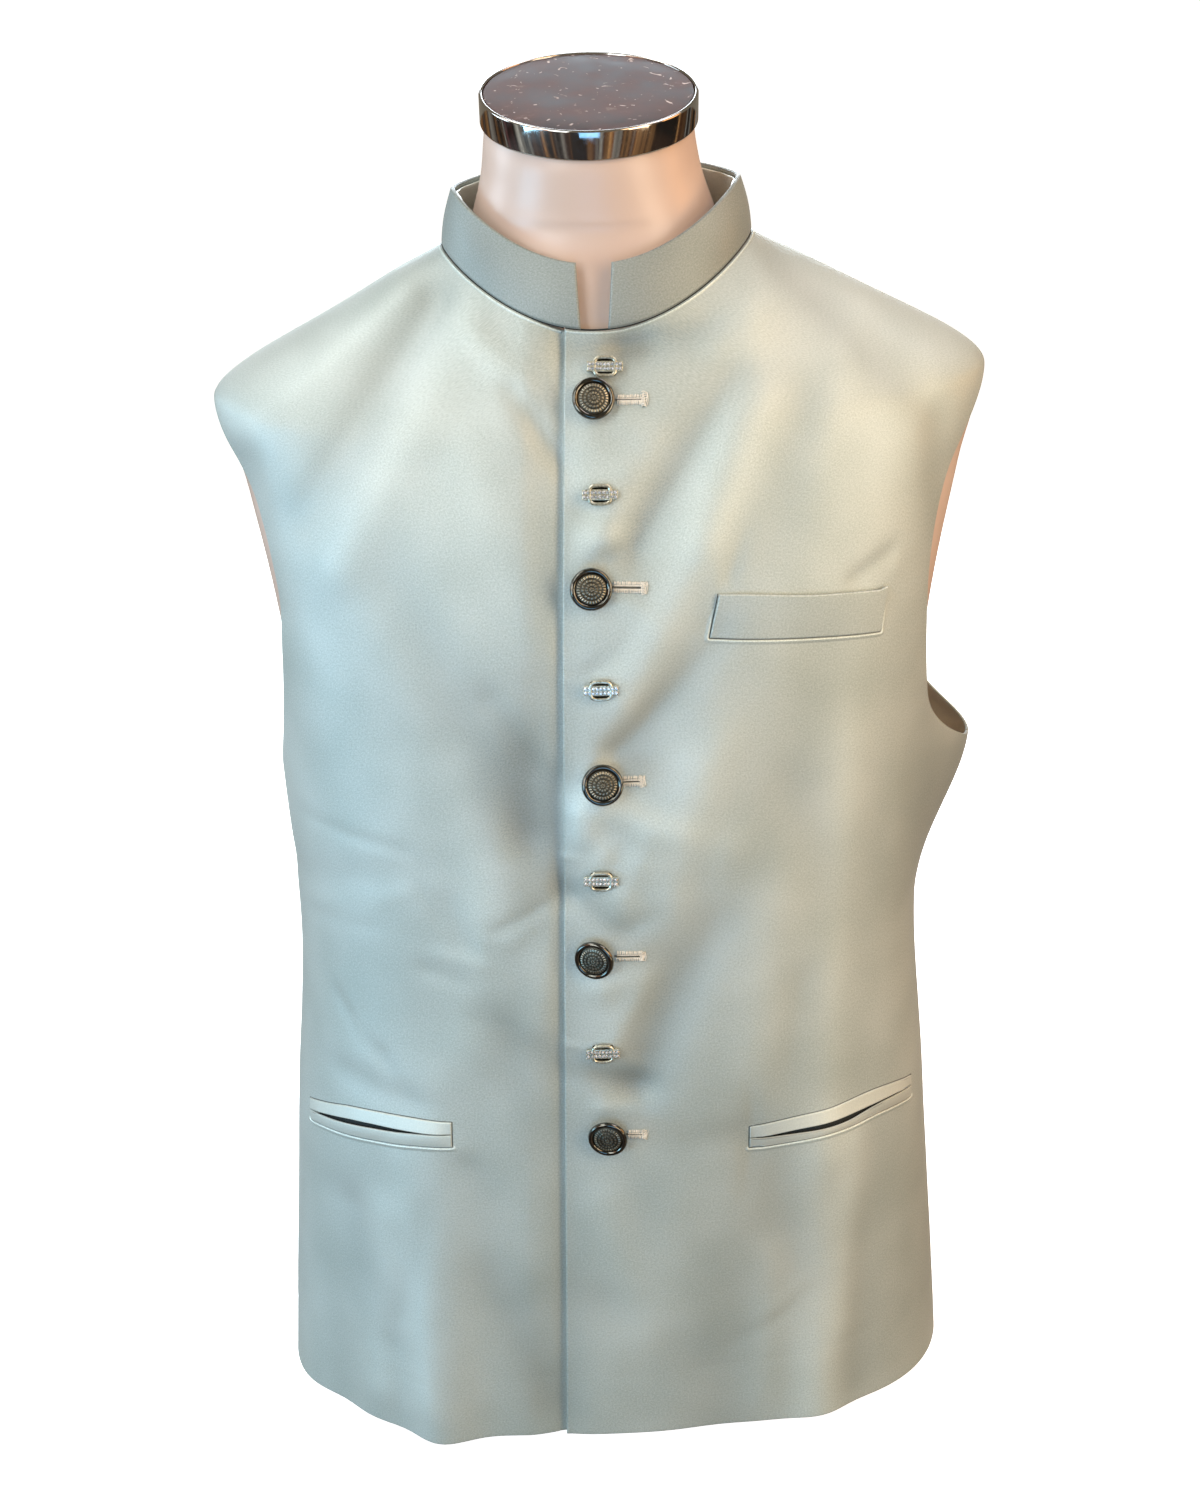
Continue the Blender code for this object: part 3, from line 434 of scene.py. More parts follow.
# For each face the rows are x0 z0 x1 z1, the half-width and the height at both ends.
FINE_ROWS = {-1: (
    # Dimples and drags at the buttons, from the top one down.
    (6, 684, 20, 690, 7, -1.3, -0.4), (14, 664, 26, 655, 8, 0.7, 0.3),
    (3, 592, 14, 596, 7, -2.2, -1), (16, 566, 30, 552, 8, 0.8, 0.3),
    (6, 486, 24, 504, 8, -2.4, -1.2), (0, 451, 38, 434, 10, 2.9, 1.5),
    (12, 376, 26, 384, 7, -1.3, -0.6), (-4, 344, 18, 345, 9, 2, 1.3),
    (-4, 336, -2, 322, 9, 0.9, 0.6), (-3, 283, 16, 278, 9, -3.2, -2.8),
    (-4, 264, 11, 263, 5, 1.4, 1), (12, 233, 22, 226, 8, 0.8, 0.3),
    # Bands from the collar and the welt down to the buttons.
    (14, 703, 58, 710, 8, -3.4, -1.8), (60, 698, 3, 606, 11, 2.2, 2.4),
    (73, 682, 20, 597, 11, -2.4, -3), (90, 668, 58, 600, 12, 1.5, 1.3),
    (50, 590, 14, 522, 12, 1.9, 2.1), (58, 546, 6, 480, 10, -1.1, -1.7),
    (48, 470, 26, 418, 12, 1.1, 1.6), (60, 372, 20, 276, 13, -1.9, -2.5),
    (20, 430, 8, 392, 9, 1.6, 1.3), (16, 332, 2, 304, 8, 1.6, 1.2),
    (-6, 468, -14, 438, 9, 1.8, 1.4),
    # Small drags at the ornaments.
    (-4, 702, 22, 706, 6, -1.1, -0.8), (-8, 634, 10, 640, 6, 0.5, 0.4),
    (-8, 618, 4, 614, 6, -0.8, -0.4), (-6, 532, 6, 540, 6, -0.9, -0.4),
    (8, 512, 16, 504, 6, 0.8, 0.4), (-4, 420, 4, 430, 6, 0.9, 0.5),
    (6, 398, 14, 392, 6, 0.8, 0.4), (12, 291, 20, 286, 5, 0.9, 0.3),
    # Short tucks from the free edge towards an ornament.
    (-24, 421, -15, 420, 1.9, 0.8, 0.3), (-25, 305, -13, 303, 1.9, 0.9, 0.4),
    (-22, 527, -14, 524, 2.2, 0.5, 0.2),
    # The front edge rolls in a little along its whole length.
    (-17, 700, -24, 400, 9, -0.9, -1), (-24, 400, -29, 40, 9, -1, -1),
    (2, 690, 0, 60, 15, 0.5, 0.7),
    # Drags at the breast welt's corners and the lower pockets' inner ends.
    (70, 580, 78, 602, 5, -0.8, -0.3), (62, 582, 66, 606, 6, 0.3, 0.1),
    (144, 571, 160, 580, 6, -1.3, -1), (165, 571, 168, 584, 4, 0.2, 0.1),
    (54, 544, 40, 528, 7, 0.8, 0.3), (84, 252, 82, 270, 4, -0.8, -0.3),
    (83, 230, 80, 200, 6, -1, -0.5), (76, 240, 52, 240, 10, -1.2, -0.8),
    (84, 244, 74, 246, 3, -0.6, -0.2), (-88, 236, -78, 232, 7, 0.8, 0.3),
    (-86, 226, -70, 200, 10, -1, -0.5),
    # Crush marks at the waist and the lower chest, on the wearer's right.
    (-178, 432, -118, 424, 5, -0.3, -0.35), (-172, 371, -139, 389, 4, -0.3, -0.2),
    (-168, 376, -112, 400, 5, 0.15, 0.2), (-176, 368, -140, 372, 5, -0.25, -0.2),
    (-108, 400, -98, 384, 4, -0.4, -0.3), (-92, 392, -84, 372, 7, -0.5, -0.5),
    (-96, 360, -76, 356, 5, 0.5, 0.4), (-72, 372, -70, 358, 4, 0.4, 0.3),
    (-106, 350, -84, 344, 5, -0.5, -0.3), (-62, 379, -36, 392, 4, -0.7, -0.5),
    (-54, 372, -38, 384, 5, 0.5, 0.3), (-162, 320, -150, 296, 4, -0.6, -0.4),
    (-152, 318, -138, 300, 3.5, 0.4, 0.3), (-148, 314, -134, 286, 5, -0.6, -0.4),
    (-136, 290, -124, 270, 6, -0.5, -0.4), (-80, 322, -74, 318, 2, -0.3, -0.2),
    (-64, 320, -58, 316, 3, -0.3, -0.2), (-46, 474, -40, 392, 16, -2.2, -2.4),
    (-76, 470, -70, 390, 14, 1, 1.2), (-32, 380, -40, 320, 10, 1.2, 1.2),
    (-62, 514, -40, 476, 8, -1.4, -1.2), (-60, 300, -44, 240, 14, -1.2, -1),
    (-160, 272, -120, 264, 10, -1, -0.8),
    # Slow drapes of the wearer's right front and its armhole.
    (-202, 640, -192, 560, 12, -2.2, -1.6), (-196, 560, -190, 480, 12, -1.4, -0.8),
    (-150, 560, -120, 500, 24, -1.2, -1), (-70, 640, -40, 560, 16, 0.9, 0.6),
    (-34, 676, -30, 560, 10, -1, -0.8), (-38, 520, -44, 440, 12, -1.2, -1.8),
    (-60, 250, -50, 160, 18, 0.9, 0.7), (-44, 130, -40, 60, 16, -0.9, -1.2),
    (-140, 180, -146, 60, 12, 1.3, 2), (-128, 120, -112, 190, 9, -0.9, -0.5),
    # Slow drapes at the left armhole, at the collar and in the skirt of both fronts.
    (190, 640, 196, 560, 11, -1.6, -1), (14, 692, 8, 674, 11, -1.5, -1.2),
    (-12, 702, 24, 700, 10, -2.2, -2.6), (-46, 680, -24, 646, 7, -1.7, -1.8),
    (-66, 708, -43, 683, 9, 1.3, 1.1), (-28, 466, -27, 400, 7, -1.2, -1.2),
    (-16, 447, -4, 424, 8, 1.7, 1.2), (-18, 397, 0, 380, 8, -2, -1.6),
    (-182, 392, -112, 412, 14, 1.5, 0.8), (-5, 196, 18, 111, 14, 1.5, 1.5),
    (91, 230, 117, 130, 18, -1.9, -2), (148, 218, 143, 95, 11, 1.9, 1.7),
    (-125, 221, -116, 61, 11, 1.1, 1.5), (-160, 181, -141, 98, 13, -1.8, -1.9),
    (-73, 146, -41, 61, 14, -1.7, -1.9), (67, 417, 44, 375, 13, 1.5, 1.3),
    (108, 449, 130, 380, 16, -1.2, -1), (110, 660, 96, 600, 15, -0.9, -0.6),
    (140, 700, 120, 640, 14, 0.9, 0.7), (120, 520, 100, 440, 20, -0.9, -0.8),
    (96, 380, 84, 290, 16, 1, 1.2), (112, 330, 104, 270, 9, -0.8, -0.6),
    (36, 200, 30, 120, 18, 0.9, 0.9), (-4, 130, 46, 90, 16, -1.4, -1),
    (96, 150, 92, 60, 12, 1, 1.4), (150, 150, 154, 50, 13, -1.2, -1.6),
    (100, 110, 74, 96, 6, -0.7, -0.4), (112, 128, 92, 112, 6, 0.6, 0.4),
), 1: (
    # The back: shoulder blades, small of the back, seat and skirt.
    (40, 700, 64, 640, 12, -1, -0.6), (-44, 700, -60, 636, 12, -0.9, -0.6),
    (24, 560, 30, 470, 16, 1, 0.8), (-28, 548, -26, 462, 16, 1.1, 0.8),
    (120, 470, 70, 420, 10, -1.2, -0.6), (-124, 462, -66, 414, 10, -1.1, -0.7),
    (130, 402, 74, 388, 8, 0.9, 0.5), (-128, 398, -80, 384, 8, 1, 0.5),
    (90, 330, 40, 322, 8, -1, -0.5), (-96, 326, -44, 330, 8, -0.9, -0.6),
    (140, 250, 150, 60, 16, -1.4, -2.4), (-140, 244, -150, 60, 16, -1.2, -2.6),
    (44, 180, 40, 50, 13, 0.9, 1.8), (-40, 190, -44, 50, 13, 1, 1.6),
    (176, 600, 186, 520, 12, -1.4, -0.9), (-178, 604, -186, 524, 12, -1.5, -0.8),
)}
FINE_FOLDS = [Fold(face, *row) for face, rows in FINE_ROWS.items() for row in rows]

# %% Fold heights
FACE_BLEND = 40.0           # depth over which a fold fades from its own face to the other
PAST_END = 1.4              # half-widths over which it fades past its ends
TURN_UP_Z = 78.0            # where the turned-up hem ends inside


def fold_heights(points, table):
    """Sum of the folds: height times exp(-(aside / half_width)^2) across the line, and the
    same fall-off, a little wider, past its ends, on its own face of the body."""
    x, y, z = points[..., 0], points[..., 1], points[..., 2]
    total = np.zeros_like(x)
    for f in table:
        length = math.hypot(f.x1 - f.x0, f.z1 - f.z0)
        ux, uz = (f.x1 - f.x0) / length, (f.z1 - f.z0) / length
        along = (x - f.x0) * ux + (z - f.z0) * uz
        aside = (x - f.x0) * uz - (z - f.z0) * ux
        past = np.maximum(0, np.maximum(-along, along - length))
        soft = np.exp(-(aside / f.half_width) ** 2 - (past / (PAST_END * f.half_width)) ** 2)
        height = between(f.height0, f.height1, np.clip(along / length, 0, 1))
        total += height * soft * smooth(0.5 + f.face * y / FACE_BLEND)
    return total


def unevenness(points):
    """A quiet wander of the cloth, under half a millimetre: products of sines whose lengths
    share no factor, so that it never repeats over the jacket, less the faint line where
    the turned-up hem is stitched, exp(-(distance / 2.4)^2)."""
    x, y, z = points[..., 0], points[..., 1], points[..., 2]
    slow = np.sin(x / 23 + z / 61) * np.sin(z / 37 - x / 83 + y / 29)
    quick = np.sin(x / 9.1 + z / 33 + y / 17) * np.sin(z / 12.7 - x / 41)
    turned_up = np.exp(-((z - TURN_UP_Z - 0.03 * x) / 2.4) ** 2) * (1 + 0.5 * np.sin(x / 7.3))
    return 0.22 * slow + 0.07 * quick - 0.16 * turned_up

# %% [markdown]
# ## A point of the cloth
# One function gives a point of the outer face for an angle round the body and a height
# share v. The cloth stands away below the left armhole, where the side is not held in, so
# a soft wing is added there before the folds. The pocket mouths sink a little, because the
# pocket bag hangs behind them.

# %% Armholes, wing and pockets
ARMHOLE_LOW, ARMHOLE_HIGH = 0.525, 0.855
ARMHOLE_FRONT, ARMHOLE_BACK = math.radians(27), math.radians(25)
ROW_AT_UNDERARM, ROW_AT_SHOULDER = 0.48, 0.87
FLARE_REACH, FLARE_FADE_DOWN, FLARE_FADE_UP = 29.0, 0.125, 0.055
FLARE_START, FLARE_PEAK, FLARE_END = (math.radians(a) for a in (60, 93, 128))
FLARE_WAY = np.array([1.0, 0.25, 0.0])      # the wing stands out to the side and back
MOUTH_DEPTH, MOUTH_REACH, MOUTH_FADE = 2.8, 4.8, 8.0
SOFT_EXTRA = 0.2                            # share by which soft folds are deepened here
GUESS_Z, GUESS_HEIGHT = 30, 690             # hem and height, where the search for v starts
# Places along each opening: the upper jet's top, the mouth's edges, the lower jet's bottom.
Mouth = namedtuple("Mouth", "x top mouth_top mouth_low bottom")
POCKETS = {
    "right": (Mouth(-184.2, 235.6, 228.6, 228.0, 221.8), Mouth(-174.7, 240.2, 233.3, 231.4, 224.6),
              Mouth(-158.0, 246.2, 238.4, 235.2, 227.4), Mouth(-142.5, 248.8, 240.8, 238.1, 229.6),
              Mouth(-127.0, 250.2, 241.9, 240.0, 231.7), Mouth(-112.3, 251.2, 243.0, 242.2, 234.2),
              Mouth(-92.2, 251.9, 244.5, 244.0, 236.4)),
    "left": (Mouth(85.8, 244.9, 237.7, 237.3, 231.4), Mouth(97.1, 246.5, 238.7, 237.4, 231.5),
             Mouth(113.2, 248.5, 240.6, 238.2, 232.7), Mouth(132.6, 250.1, 242.0, 239.1, 234.4),
             Mouth(146.2, 251.2, 242.7, 239.6, 234.7), Mouth(163.0, 251.6, 243.1, 241.7, 235.3),
             Mouth(176.5, 249.4, 242.4, 241.3, 234.2), Mouth(189.6, 244.9, 238.9, 238.3, 231.4)),
}

# %% Cloth function
def flare(turn, v):
    """How far the cloth stands out below the left armhole: a soft hump in turn and v."""
    across = smooth((turn - FLARE_START) / (FLARE_PEAK - FLARE_START))
    across = across * (1 - smooth((turn - FLARE_PEAK) / (FLARE_END - FLARE_PEAK)))
    below = 1 - smooth((ARMHOLE_LOW - v) / FLARE_FADE_DOWN)
    above = 1 - smooth((v - ARMHOLE_LOW) / FLARE_FADE_UP)
    return FLARE_REACH * across * np.where(v < ARMHOLE_LOW, below, above)


def mouth_sink(points):
    """How far the front sinks under the pocket mouths: depth * exp(-(aside / reach)^4)
    about each mouth's middle line, faded out at its ends."""
    x, y, z = points[..., 0], points[..., 1], points[..., 2]
    total = np.zeros_like(x)
    for rows in POCKETS.values():
        knots = column_of(rows, "x")
        middle = spline(knots, [(r.mouth_top + r.mouth_low) / 2 for r in rows], x)
        inside = smooth((x - knots[0]) / MOUTH_FADE) * smooth((knots[-1] - x) / MOUTH_FADE)
        total += MOUTH_DEPTH * inside * np.exp(-((z - middle) / MOUTH_REACH) ** 4)
    return total * (y < 0)


def cloth(turn, v, out=0.0, fine=1.0):
    """A point of the jacket's outer face, moved out by this many millimetres: the ring's
    point + the wing + normal * (large folds + fine * all the finer ones + out)."""
    turn, v = np.broadcast_arrays(np.asarray(turn, float), np.asarray(v, float))
    p, n = body_point(turn, v), body_normal(turn, v)
    stand = flare(turn, v)[..., None] * FLARE_WAY
    height = fold_heights(p, LARGE_FOLDS)
    if fine:
        height = height + fine * (SOFT_EXTRA * fold_heights(p, SOFT_FOLDS)
                                  + fold_heights(p, FINE_FOLDS) + unevenness(p))
    return hang(p + stand + n * (height + out)[..., None])


def find(x, z):
    """The turn and v at which the smooth front passes x and z: a few Newton steps with the
    slopes taken by small differences."""
    x, z = np.broadcast_arrays(np.asarray(x, float), np.asarray(z, float))
    turn = np.arcsin(np.clip((x - JACKET_SHIFT) / SECTIONS[0].half_width, -0.95, 0.95))
    v = np.clip((z - GUESS_Z) / GUESS_HEIGHT, 0.02, 0.98)
    step = 1e-4
    for _ in range(12):
        here = cloth(turn, v, fine=0)
        by_turn = (cloth(turn + step, v, fine=0) - here) / step
        by_v = (cloth(turn, v + step, fine=0) - here) / step
        dx, dz = x - here[..., 0], z - here[..., 2]
        det = by_turn[..., 0] * by_v[..., 2] - by_v[..., 0] * by_turn[..., 2]
        turn = turn + np.clip((dx * by_v[..., 2] - by_v[..., 0] * dz) / det, -0.2, 0.2)
        v = np.clip(v + np.clip((by_turn[..., 0] * dz - dx * by_turn[..., 2]) / det, -0.1, 0.1),
                    0.001, 0.999)
    return turn, v

# %% [markdown]
# ## Walls of cloth with rolled edges
# A panel is a closed wall: the shell outside, the lining inside, and an edge between them.
# On a real jacket the shell is turned round the edge and pressed, so the edge is a small
# half circle and not a cut. It is made by pulling both faces back by the roll's radius and
# laying half a circle between them. Seams that are sewn flat get a tighter roll.

# %% Wall maker
def along_rows(grid):
    """Length along each row, counted from its middle, and up each column from its first
    point, in millimetres."""
    across = np.linalg.norm(np.diff(grid, axis=1), axis=-1).cumsum(1)
    up = np.linalg.norm(np.diff(grid, axis=0), axis=-1).cumsum(0)
    across = np.concatenate([np.zeros((grid.shape[0], 1)), across], 1)
    up = np.concatenate([np.zeros((1, grid.shape[1])), up], 0)
    return np.stack([across - across[:, -1:] * 0.5, up], -1)


PAINTED_SHADE_FOLD = 2.5              # height in millimetres of a fold that gives the full painted shade
cuts = {}                   # what every wall measures: across, up and area, in metres


def wall(name, outer, inner, looks, roll=1.0, steps=5, tone=0.0):
    """A closed wall between two grids. The edge at an angle a from the outer face lies at
    middle + inward * roll * (1 - cos a) + half_thickness * sin a. roll is one radius or a
    grid of them; looks are the outer and the inner material. The outer face's painted shade
    is the height of its finer folds over PAINTED_SHADE_FOLD, plus tone: darker in a trough and
    paler on a crest, as painted shade and highlight."""
    outer, inner = outer.copy(), inner.copy()
    painted_shade = (fold_heights(outer, SOFT_FOLDS) + fold_heights(outer, FINE_FOLDS)) / PAINTED_SHADE_FOLD + tone
    rows, columns = outer.shape[:2]
    size = np.abs(along_rows(outer)).max((0, 1)) * (2, 1) * MM
    faces = np.linalg.norm(np.cross(outer[1:, 1:] - outer[:-1, :-1],
                                    outer[1:, :-1] - outer[:-1, 1:]), axis=-1) / 2
    cuts[name] = (*size.round(4).tolist(), round(float(faces.sum()) * MM * MM, 4))
    roll = np.broadcast_to(roll, (rows, columns))
    r = np.concatenate([np.zeros(columns, int), np.arange(1, rows),
                        np.full(columns - 1, rows - 1), np.arange(rows - 2, 0, -1)])
    c = np.concatenate([np.arange(columns), np.full(rows - 1, columns - 1),
                        np.arange(columns - 2, -1, -1), np.zeros(rows - 2, int)])
    r2, c2 = np.clip(r, 1, rows - 2), np.clip(c, 1, columns - 2)
    middle, half = (outer[r, c] + inner[r, c]) / 2, (outer[r, c] - inner[r, c]) / 2
    inward = (outer[r2, c2] + inner[r2, c2]) / 2 - middle
    inward /= np.linalg.norm(inward, axis=-1, keepdims=True)
    inward *= (roll[r, c] * np.where((r != r2) & (c != c2), 1.3, 1.0))[:, None]
    outer[r, c], inner[r, c] = middle + inward + half, middle + inward - half
    angle = np.linspace(math.pi / 2, -math.pi / 2, steps + 2)[1:-1, None, None]
    edge = middle + inward * (1 - np.cos(angle)) + half * np.sin(angle)

    count, ring = rows * columns, len(r)
    index = np.arange(count).reshape(rows, columns)
    strip = np.concatenate([index[r, c][None], 2 * count + np.arange(steps * ring)
                            .reshape(steps, ring), count + index[r, c][None]])
    strip = np.concatenate([strip, strip[:, :1]], 1)
    places = along_rows(outer)
    places = np.concatenate([places.reshape(-1, 2), places.reshape(-1, 2),
                             np.tile(places[r, c], (steps, 1))])
    return put_mesh(name, np.concatenate([outer.reshape(-1, 3), inner.reshape(-1, 3),
                                          edge.reshape(-1, 3)]),
                    [grid_faces(index), grid_faces(strip)[:, ::-1],
                     (count + grid_faces(index))[:, ::-1]],
                    looks, marks=[0, 0, min(1, len(looks) - 1)], places=places, sharp=0,
                    wear_and_painted_shade=np.concatenate([painted_shade.ravel(), np.zeros(count),
                                         np.tile(painted_shade[r, c], steps)]))

# %% [markdown]
# ## Fronts and back
# Three panels make the body. The wearer's left front lies on top, as is usual, and its
# free edge runs a little to the wearer's right of the middle. The other front steps in
# under it. They could be cut out of one tube with booleans, which leaves ragged edges.
# Here columns of both panels follow the free edges, and rows follow the armhole, so the
# edges come out crisp with no cutting.

# %% Panel edges
EDGE_AT_HEM, EDGE_AT_NECK = 31.0, 18.5      # free edge of the upper front, past the middle
UNDERLAP, LAYER_STEP, STEP_WIDTH = 24.0, 2.8, 24.0
LAP_GROOVE, LAP_GROOVE_REACH = 1.1, 5.0     # the lower front dips under the upper one's edge
LAP_SHARE, STEP_SHARE = 4 / 18, 7 / 18      # of a front's columns, up to each of the lines
PRESSED, SEWN = 0.95, 0.45                  # radius of a pressed edge and of a seam's edge
WING_PAINTED_SHADE, WING_V, WING_REACH = -1.8, 0.5, 0.09     # the painted shade below the armhole


def upper_edge_turn(v, past=0.0):
    """Angle of the upper front's free edge: minus the arc sine of its reach."""
    reach = between(EDGE_AT_HEM, EDGE_AT_NECK, v) + past
    return -np.arcsin(reach / section("half_width", v))


def lower_edge_turn(v):
    """Angle of the lower front's free edge, under the upper front."""
    return np.arcsin(UNDERLAP / section("half_width", v))


def step_start_turn(v):
    """Where the lower front starts to step in."""
    return upper_edge_turn(v, STEP_WIDTH)


def armhole(row, reach):
    """A panel's side edge by row: up the side seam, an oval round the armhole, up the
    shoulder seam. Returns how far it draws back from the side, and its v."""
    t = (row - ROW_AT_UNDERARM) / (ROW_AT_SHOULDER - ROW_AT_UNDERARM)
    inside = (t > 0) & (t < 1)
    low = ARMHOLE_LOW * row / ROW_AT_UNDERARM
    high = 1 - (1 - ARMHOLE_HIGH) * (1 - row) / (1 - ROW_AT_SHOULDER)
    oval = between(ARMHOLE_LOW, ARMHOLE_HIGH, (1 - np.cos(np.pi * t)) / 2)
    back = np.where(inside, reach * np.sin(np.pi * np.clip(t, 0, 1)), 0)
    return back, np.where(inside, oval, np.where(t <= 0, low, high))


def front_grid(side, stops, places, columns, rows=280):
    """Turn and v of a front's points; stops are angles at given shares of the columns, and
    v moves from the plain row to the edge's own v with the square of the share."""
    row = np.linspace(0, 1, rows)[:, None]
    share = np.linspace(0, 1, columns)[None, :]
    back, edge_v = armhole(row, ARMHOLE_FRONT)
    v = np.clip(between(row, edge_v, share**2), 0, 1 - NECK_MARGIN)
    seam = SEAM_GAP / 2 / section("front_depth", edge_v)
    stops = [stop(row) for stop in stops] + [side * (np.pi / 2 - back - seam)]
    turn = sum(stop * np.interp(share, places, np.eye(len(places))[k])
               for k, stop in enumerate(stops))
    return turn, v


def folded(turn):
    """Angles past the middle of the back, counted from the other side."""
    return np.where(turn > np.pi, turn - 2 * np.pi, turn)


def edge_rolls(turn, side_columns):
    """Pressed edges everywhere but at the neckline, side seam and shoulder seam."""
    rows, columns = turn.shape
    row = np.linspace(0, 1, rows)
    roll = np.full((rows, columns), PRESSED)
    roll[-1] = SEWN
    sewn = (row < ROW_AT_UNDERARM) | (row > ROW_AT_SHOULDER)
    for column in side_columns:
        roll[sewn, column] = SEWN
    return roll


def layer_step(turn, v):
    """How deep the lower front lies: a smooth step before it runs under the upper one, and
    a groove of depth * exp(-(aside / reach)^2) below that one's edge."""
    past_start = (turn - upper_edge_turn(v, STEP_WIDTH)) * section("half_width", v)
    groove = LAP_GROOVE * np.exp(-((past_start - STEP_WIDTH) / LAP_GROOVE_REACH) ** 2)
    return -LAYER_STEP * smooth(past_start / STEP_WIDTH) - groove


def wing_shade(turn, v):
    """Painted shade on the wing below the left armhole, where the cloth turns away from the
    light: a soft dark patch that fades to both sides of the seam and by
    exp(-((v - middle) / reach)^2) up and down."""
    beside = smooth((turn - 0.95) / 0.3) * smooth((2.4 - turn) / 0.5)
    return WING_PAINTED_SHADE * beside * np.exp(-((v - WING_V) / WING_REACH) ** 2)

# %% Panels
turn, v = front_grid(1, (upper_edge_turn, lower_edge_turn), (0, LAP_SHARE, 1), 145)
sunk = mouth_sink(cloth(turn, v, fine=0))
front_left = wall("front_left_cloth", cloth(turn, v, -sunk), cloth(turn, v, -sunk - CLOTH),
                  (SATIN, LINING), edge_rolls(turn, (-1,)), tone=wing_shade(turn, v))

turn, v = front_grid(-1, (lower_edge_turn, upper_edge_turn, step_start_turn),
                     (0, LAP_SHARE, STEP_SHARE, 1), 145)
deep = layer_step(turn, v) - mouth_sink(cloth(turn, v, fine=0))
front_right = wall("front_right_cloth", cloth(turn, v, deep)[:, ::-1],
                   cloth(turn, v, deep - CLOTH)[:, ::-1], (SATIN, LINING),
                   edge_rolls(turn, (-1,))[:, ::-1])

row, share = np.linspace(0, 1, 244)[:, None], np.linspace(1, -1, 157)[None, :]
drawn, edge_v = armhole(row, ARMHOLE_BACK)
v = np.clip(between(row, edge_v, share**2), 0, 1 - NECK_MARGIN)
half = np.pi / 2 - drawn - SEAM_GAP / 2 / section("back_depth", edge_v)
turn = folded(np.pi - share * half)
back = wall("back_cloth", cloth(turn, v), cloth(turn, v, -CLOTH), (SATIN, LINING),
            edge_rolls(turn, (0, -1)), tone=wing_shade(turn, v))
for piece, node in ((front_left, "front_left"), (front_right, "front_right"), (back, "back")):
    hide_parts(node)

# %% [markdown]
# ## Stand collar and its lining
# The band is stiffened cloth, cut straight and joined in a ring that is open in front. It
# leans inwards and bows out a little at mid height. It could be a curve with thickness;
# here it is a wall between the neckline and a smaller, higher oval, with a soft pressed
# top. The lining inside is drawn into short upright creases by the seam that holds it.

# %% Collar shape
COLLAR_THICK, COLLAR_PROUD = 2.8, 0.8
COLLAR_GAP_BASE, COLLAR_GAP_TOP, COLLAR_SHIFT = 15.0, 21.0, -2.0
COLLAR_TOP = (81.5, 63.0, 57.0, 746.0, 784.0, 793.0)     # half width, depths and heights
COLLAR_BOW, COLLAR_WANDER = 1.2, 0.25
LINING_THICK, LINING_RIPPLES, LINING_RIPPLE_DEPTH = 1.0, 20, 0.9


def collar_faces(turn, rise, depth):
    """A point of the band: from the seam at rise 0 to the top oval at rise 1, bowed by
    bow * sin(pi rise), and so many millimetres inside its outer face."""
    base, normal = body_point(turn, np.ones_like(turn)), body_normal(turn, np.ones_like(turn))
    below = body_point(turn, np.full_like(turn, 0.99))
    along = (base - below) / np.linalg.norm(base - below, axis=-1, keepdims=True)
    foot = base + along * SEAM_GAP + normal * COLLAR_PROUD
    top = xyz(*rounded(turn, *COLLAR_TOP[:3], 2.0), ring_height(turn, *COLLAR_TOP[3:]))
    around = np.roll(foot, -1, axis=1) - np.roll(foot, 1, axis=1)
    around[:, 0], around[:, -1] = foot[:, 1] - foot[:, 0], foot[:, -1] - foot[:, -2]
    face_out = np.cross(around, top - foot)
    face_out /= np.linalg.norm(face_out, axis=-1, keepdims=True)
    lean = smooth(rise * 3)[..., None]
    inward = normal * (1 - lean) + face_out * lean
    wander = COLLAR_WANDER * np.sin(turn * 7 + rise * 3) * np.sin(turn * 3 - 1)
    bow = ((COLLAR_BOW + wander) * np.sin(np.pi * rise))[..., None] * face_out
    return hang(foot + (top - foot) * rise[..., None] + bow - inward * depth[..., None])


def collar_grid(columns, rises, margin=0.0):
    """Turns from the wearer's left end of the opening round the back to the other end."""
    rise = np.asarray(rises, float)[:, None]
    half = between(COLLAR_GAP_BASE, COLLAR_GAP_TOP, rise) / 2 + margin
    start = np.arcsin((half + COLLAR_SHIFT) / NECK_WIDTH)
    stop = 2 * np.pi - np.arcsin((half - COLLAR_SHIFT) / NECK_WIDTH)
    turn = between(start, stop, np.linspace(0, 1, columns)[None, :])
    return turn, rise + 0 * turn

# %% Collar and lining
turn, rise = collar_grid(281, np.linspace(0, 1, 25))
flat = np.zeros_like(turn)
# The collar's cloth is painted darker by tone -2.4, as painted shade.
collar = wall("collar_cloth", collar_faces(turn, rise, flat),
              collar_faces(turn, rise, flat + COLLAR_THICK), (SATIN, SATIN), 0.9, tone=-2.4)
turn, rise = collar_grid(LINING_RIPPLES * 14 + 1, np.linspace(0.16, 0.94, 14), margin=1.5)
phase = turn[:1] * LINING_RIPPLES + 1.7 * np.sin(turn[:1] * 2.3) + 0.35 * np.sin(rise * 4)
wave = (0.5 - 0.5 * np.cos(phase)) * (0.75 + 0.25 * np.sin(turn * 5.1 + 2))
deep = COLLAR_THICK + LAY_GAP + 0.25 + 0 * turn
# The collar lining is painted paler by tone 2.0, as painted light where the neck and the collar
# shade it.
collar_lining = wall("collar_lining_cloth", collar_faces(turn, rise, deep), collar_faces(
    turn, rise, deep + LINING_THICK + LINING_RIPPLE_DEPTH * wave), (LINING,), 0.45, tone=2.0)
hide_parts("collar")
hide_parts("collar_lining")
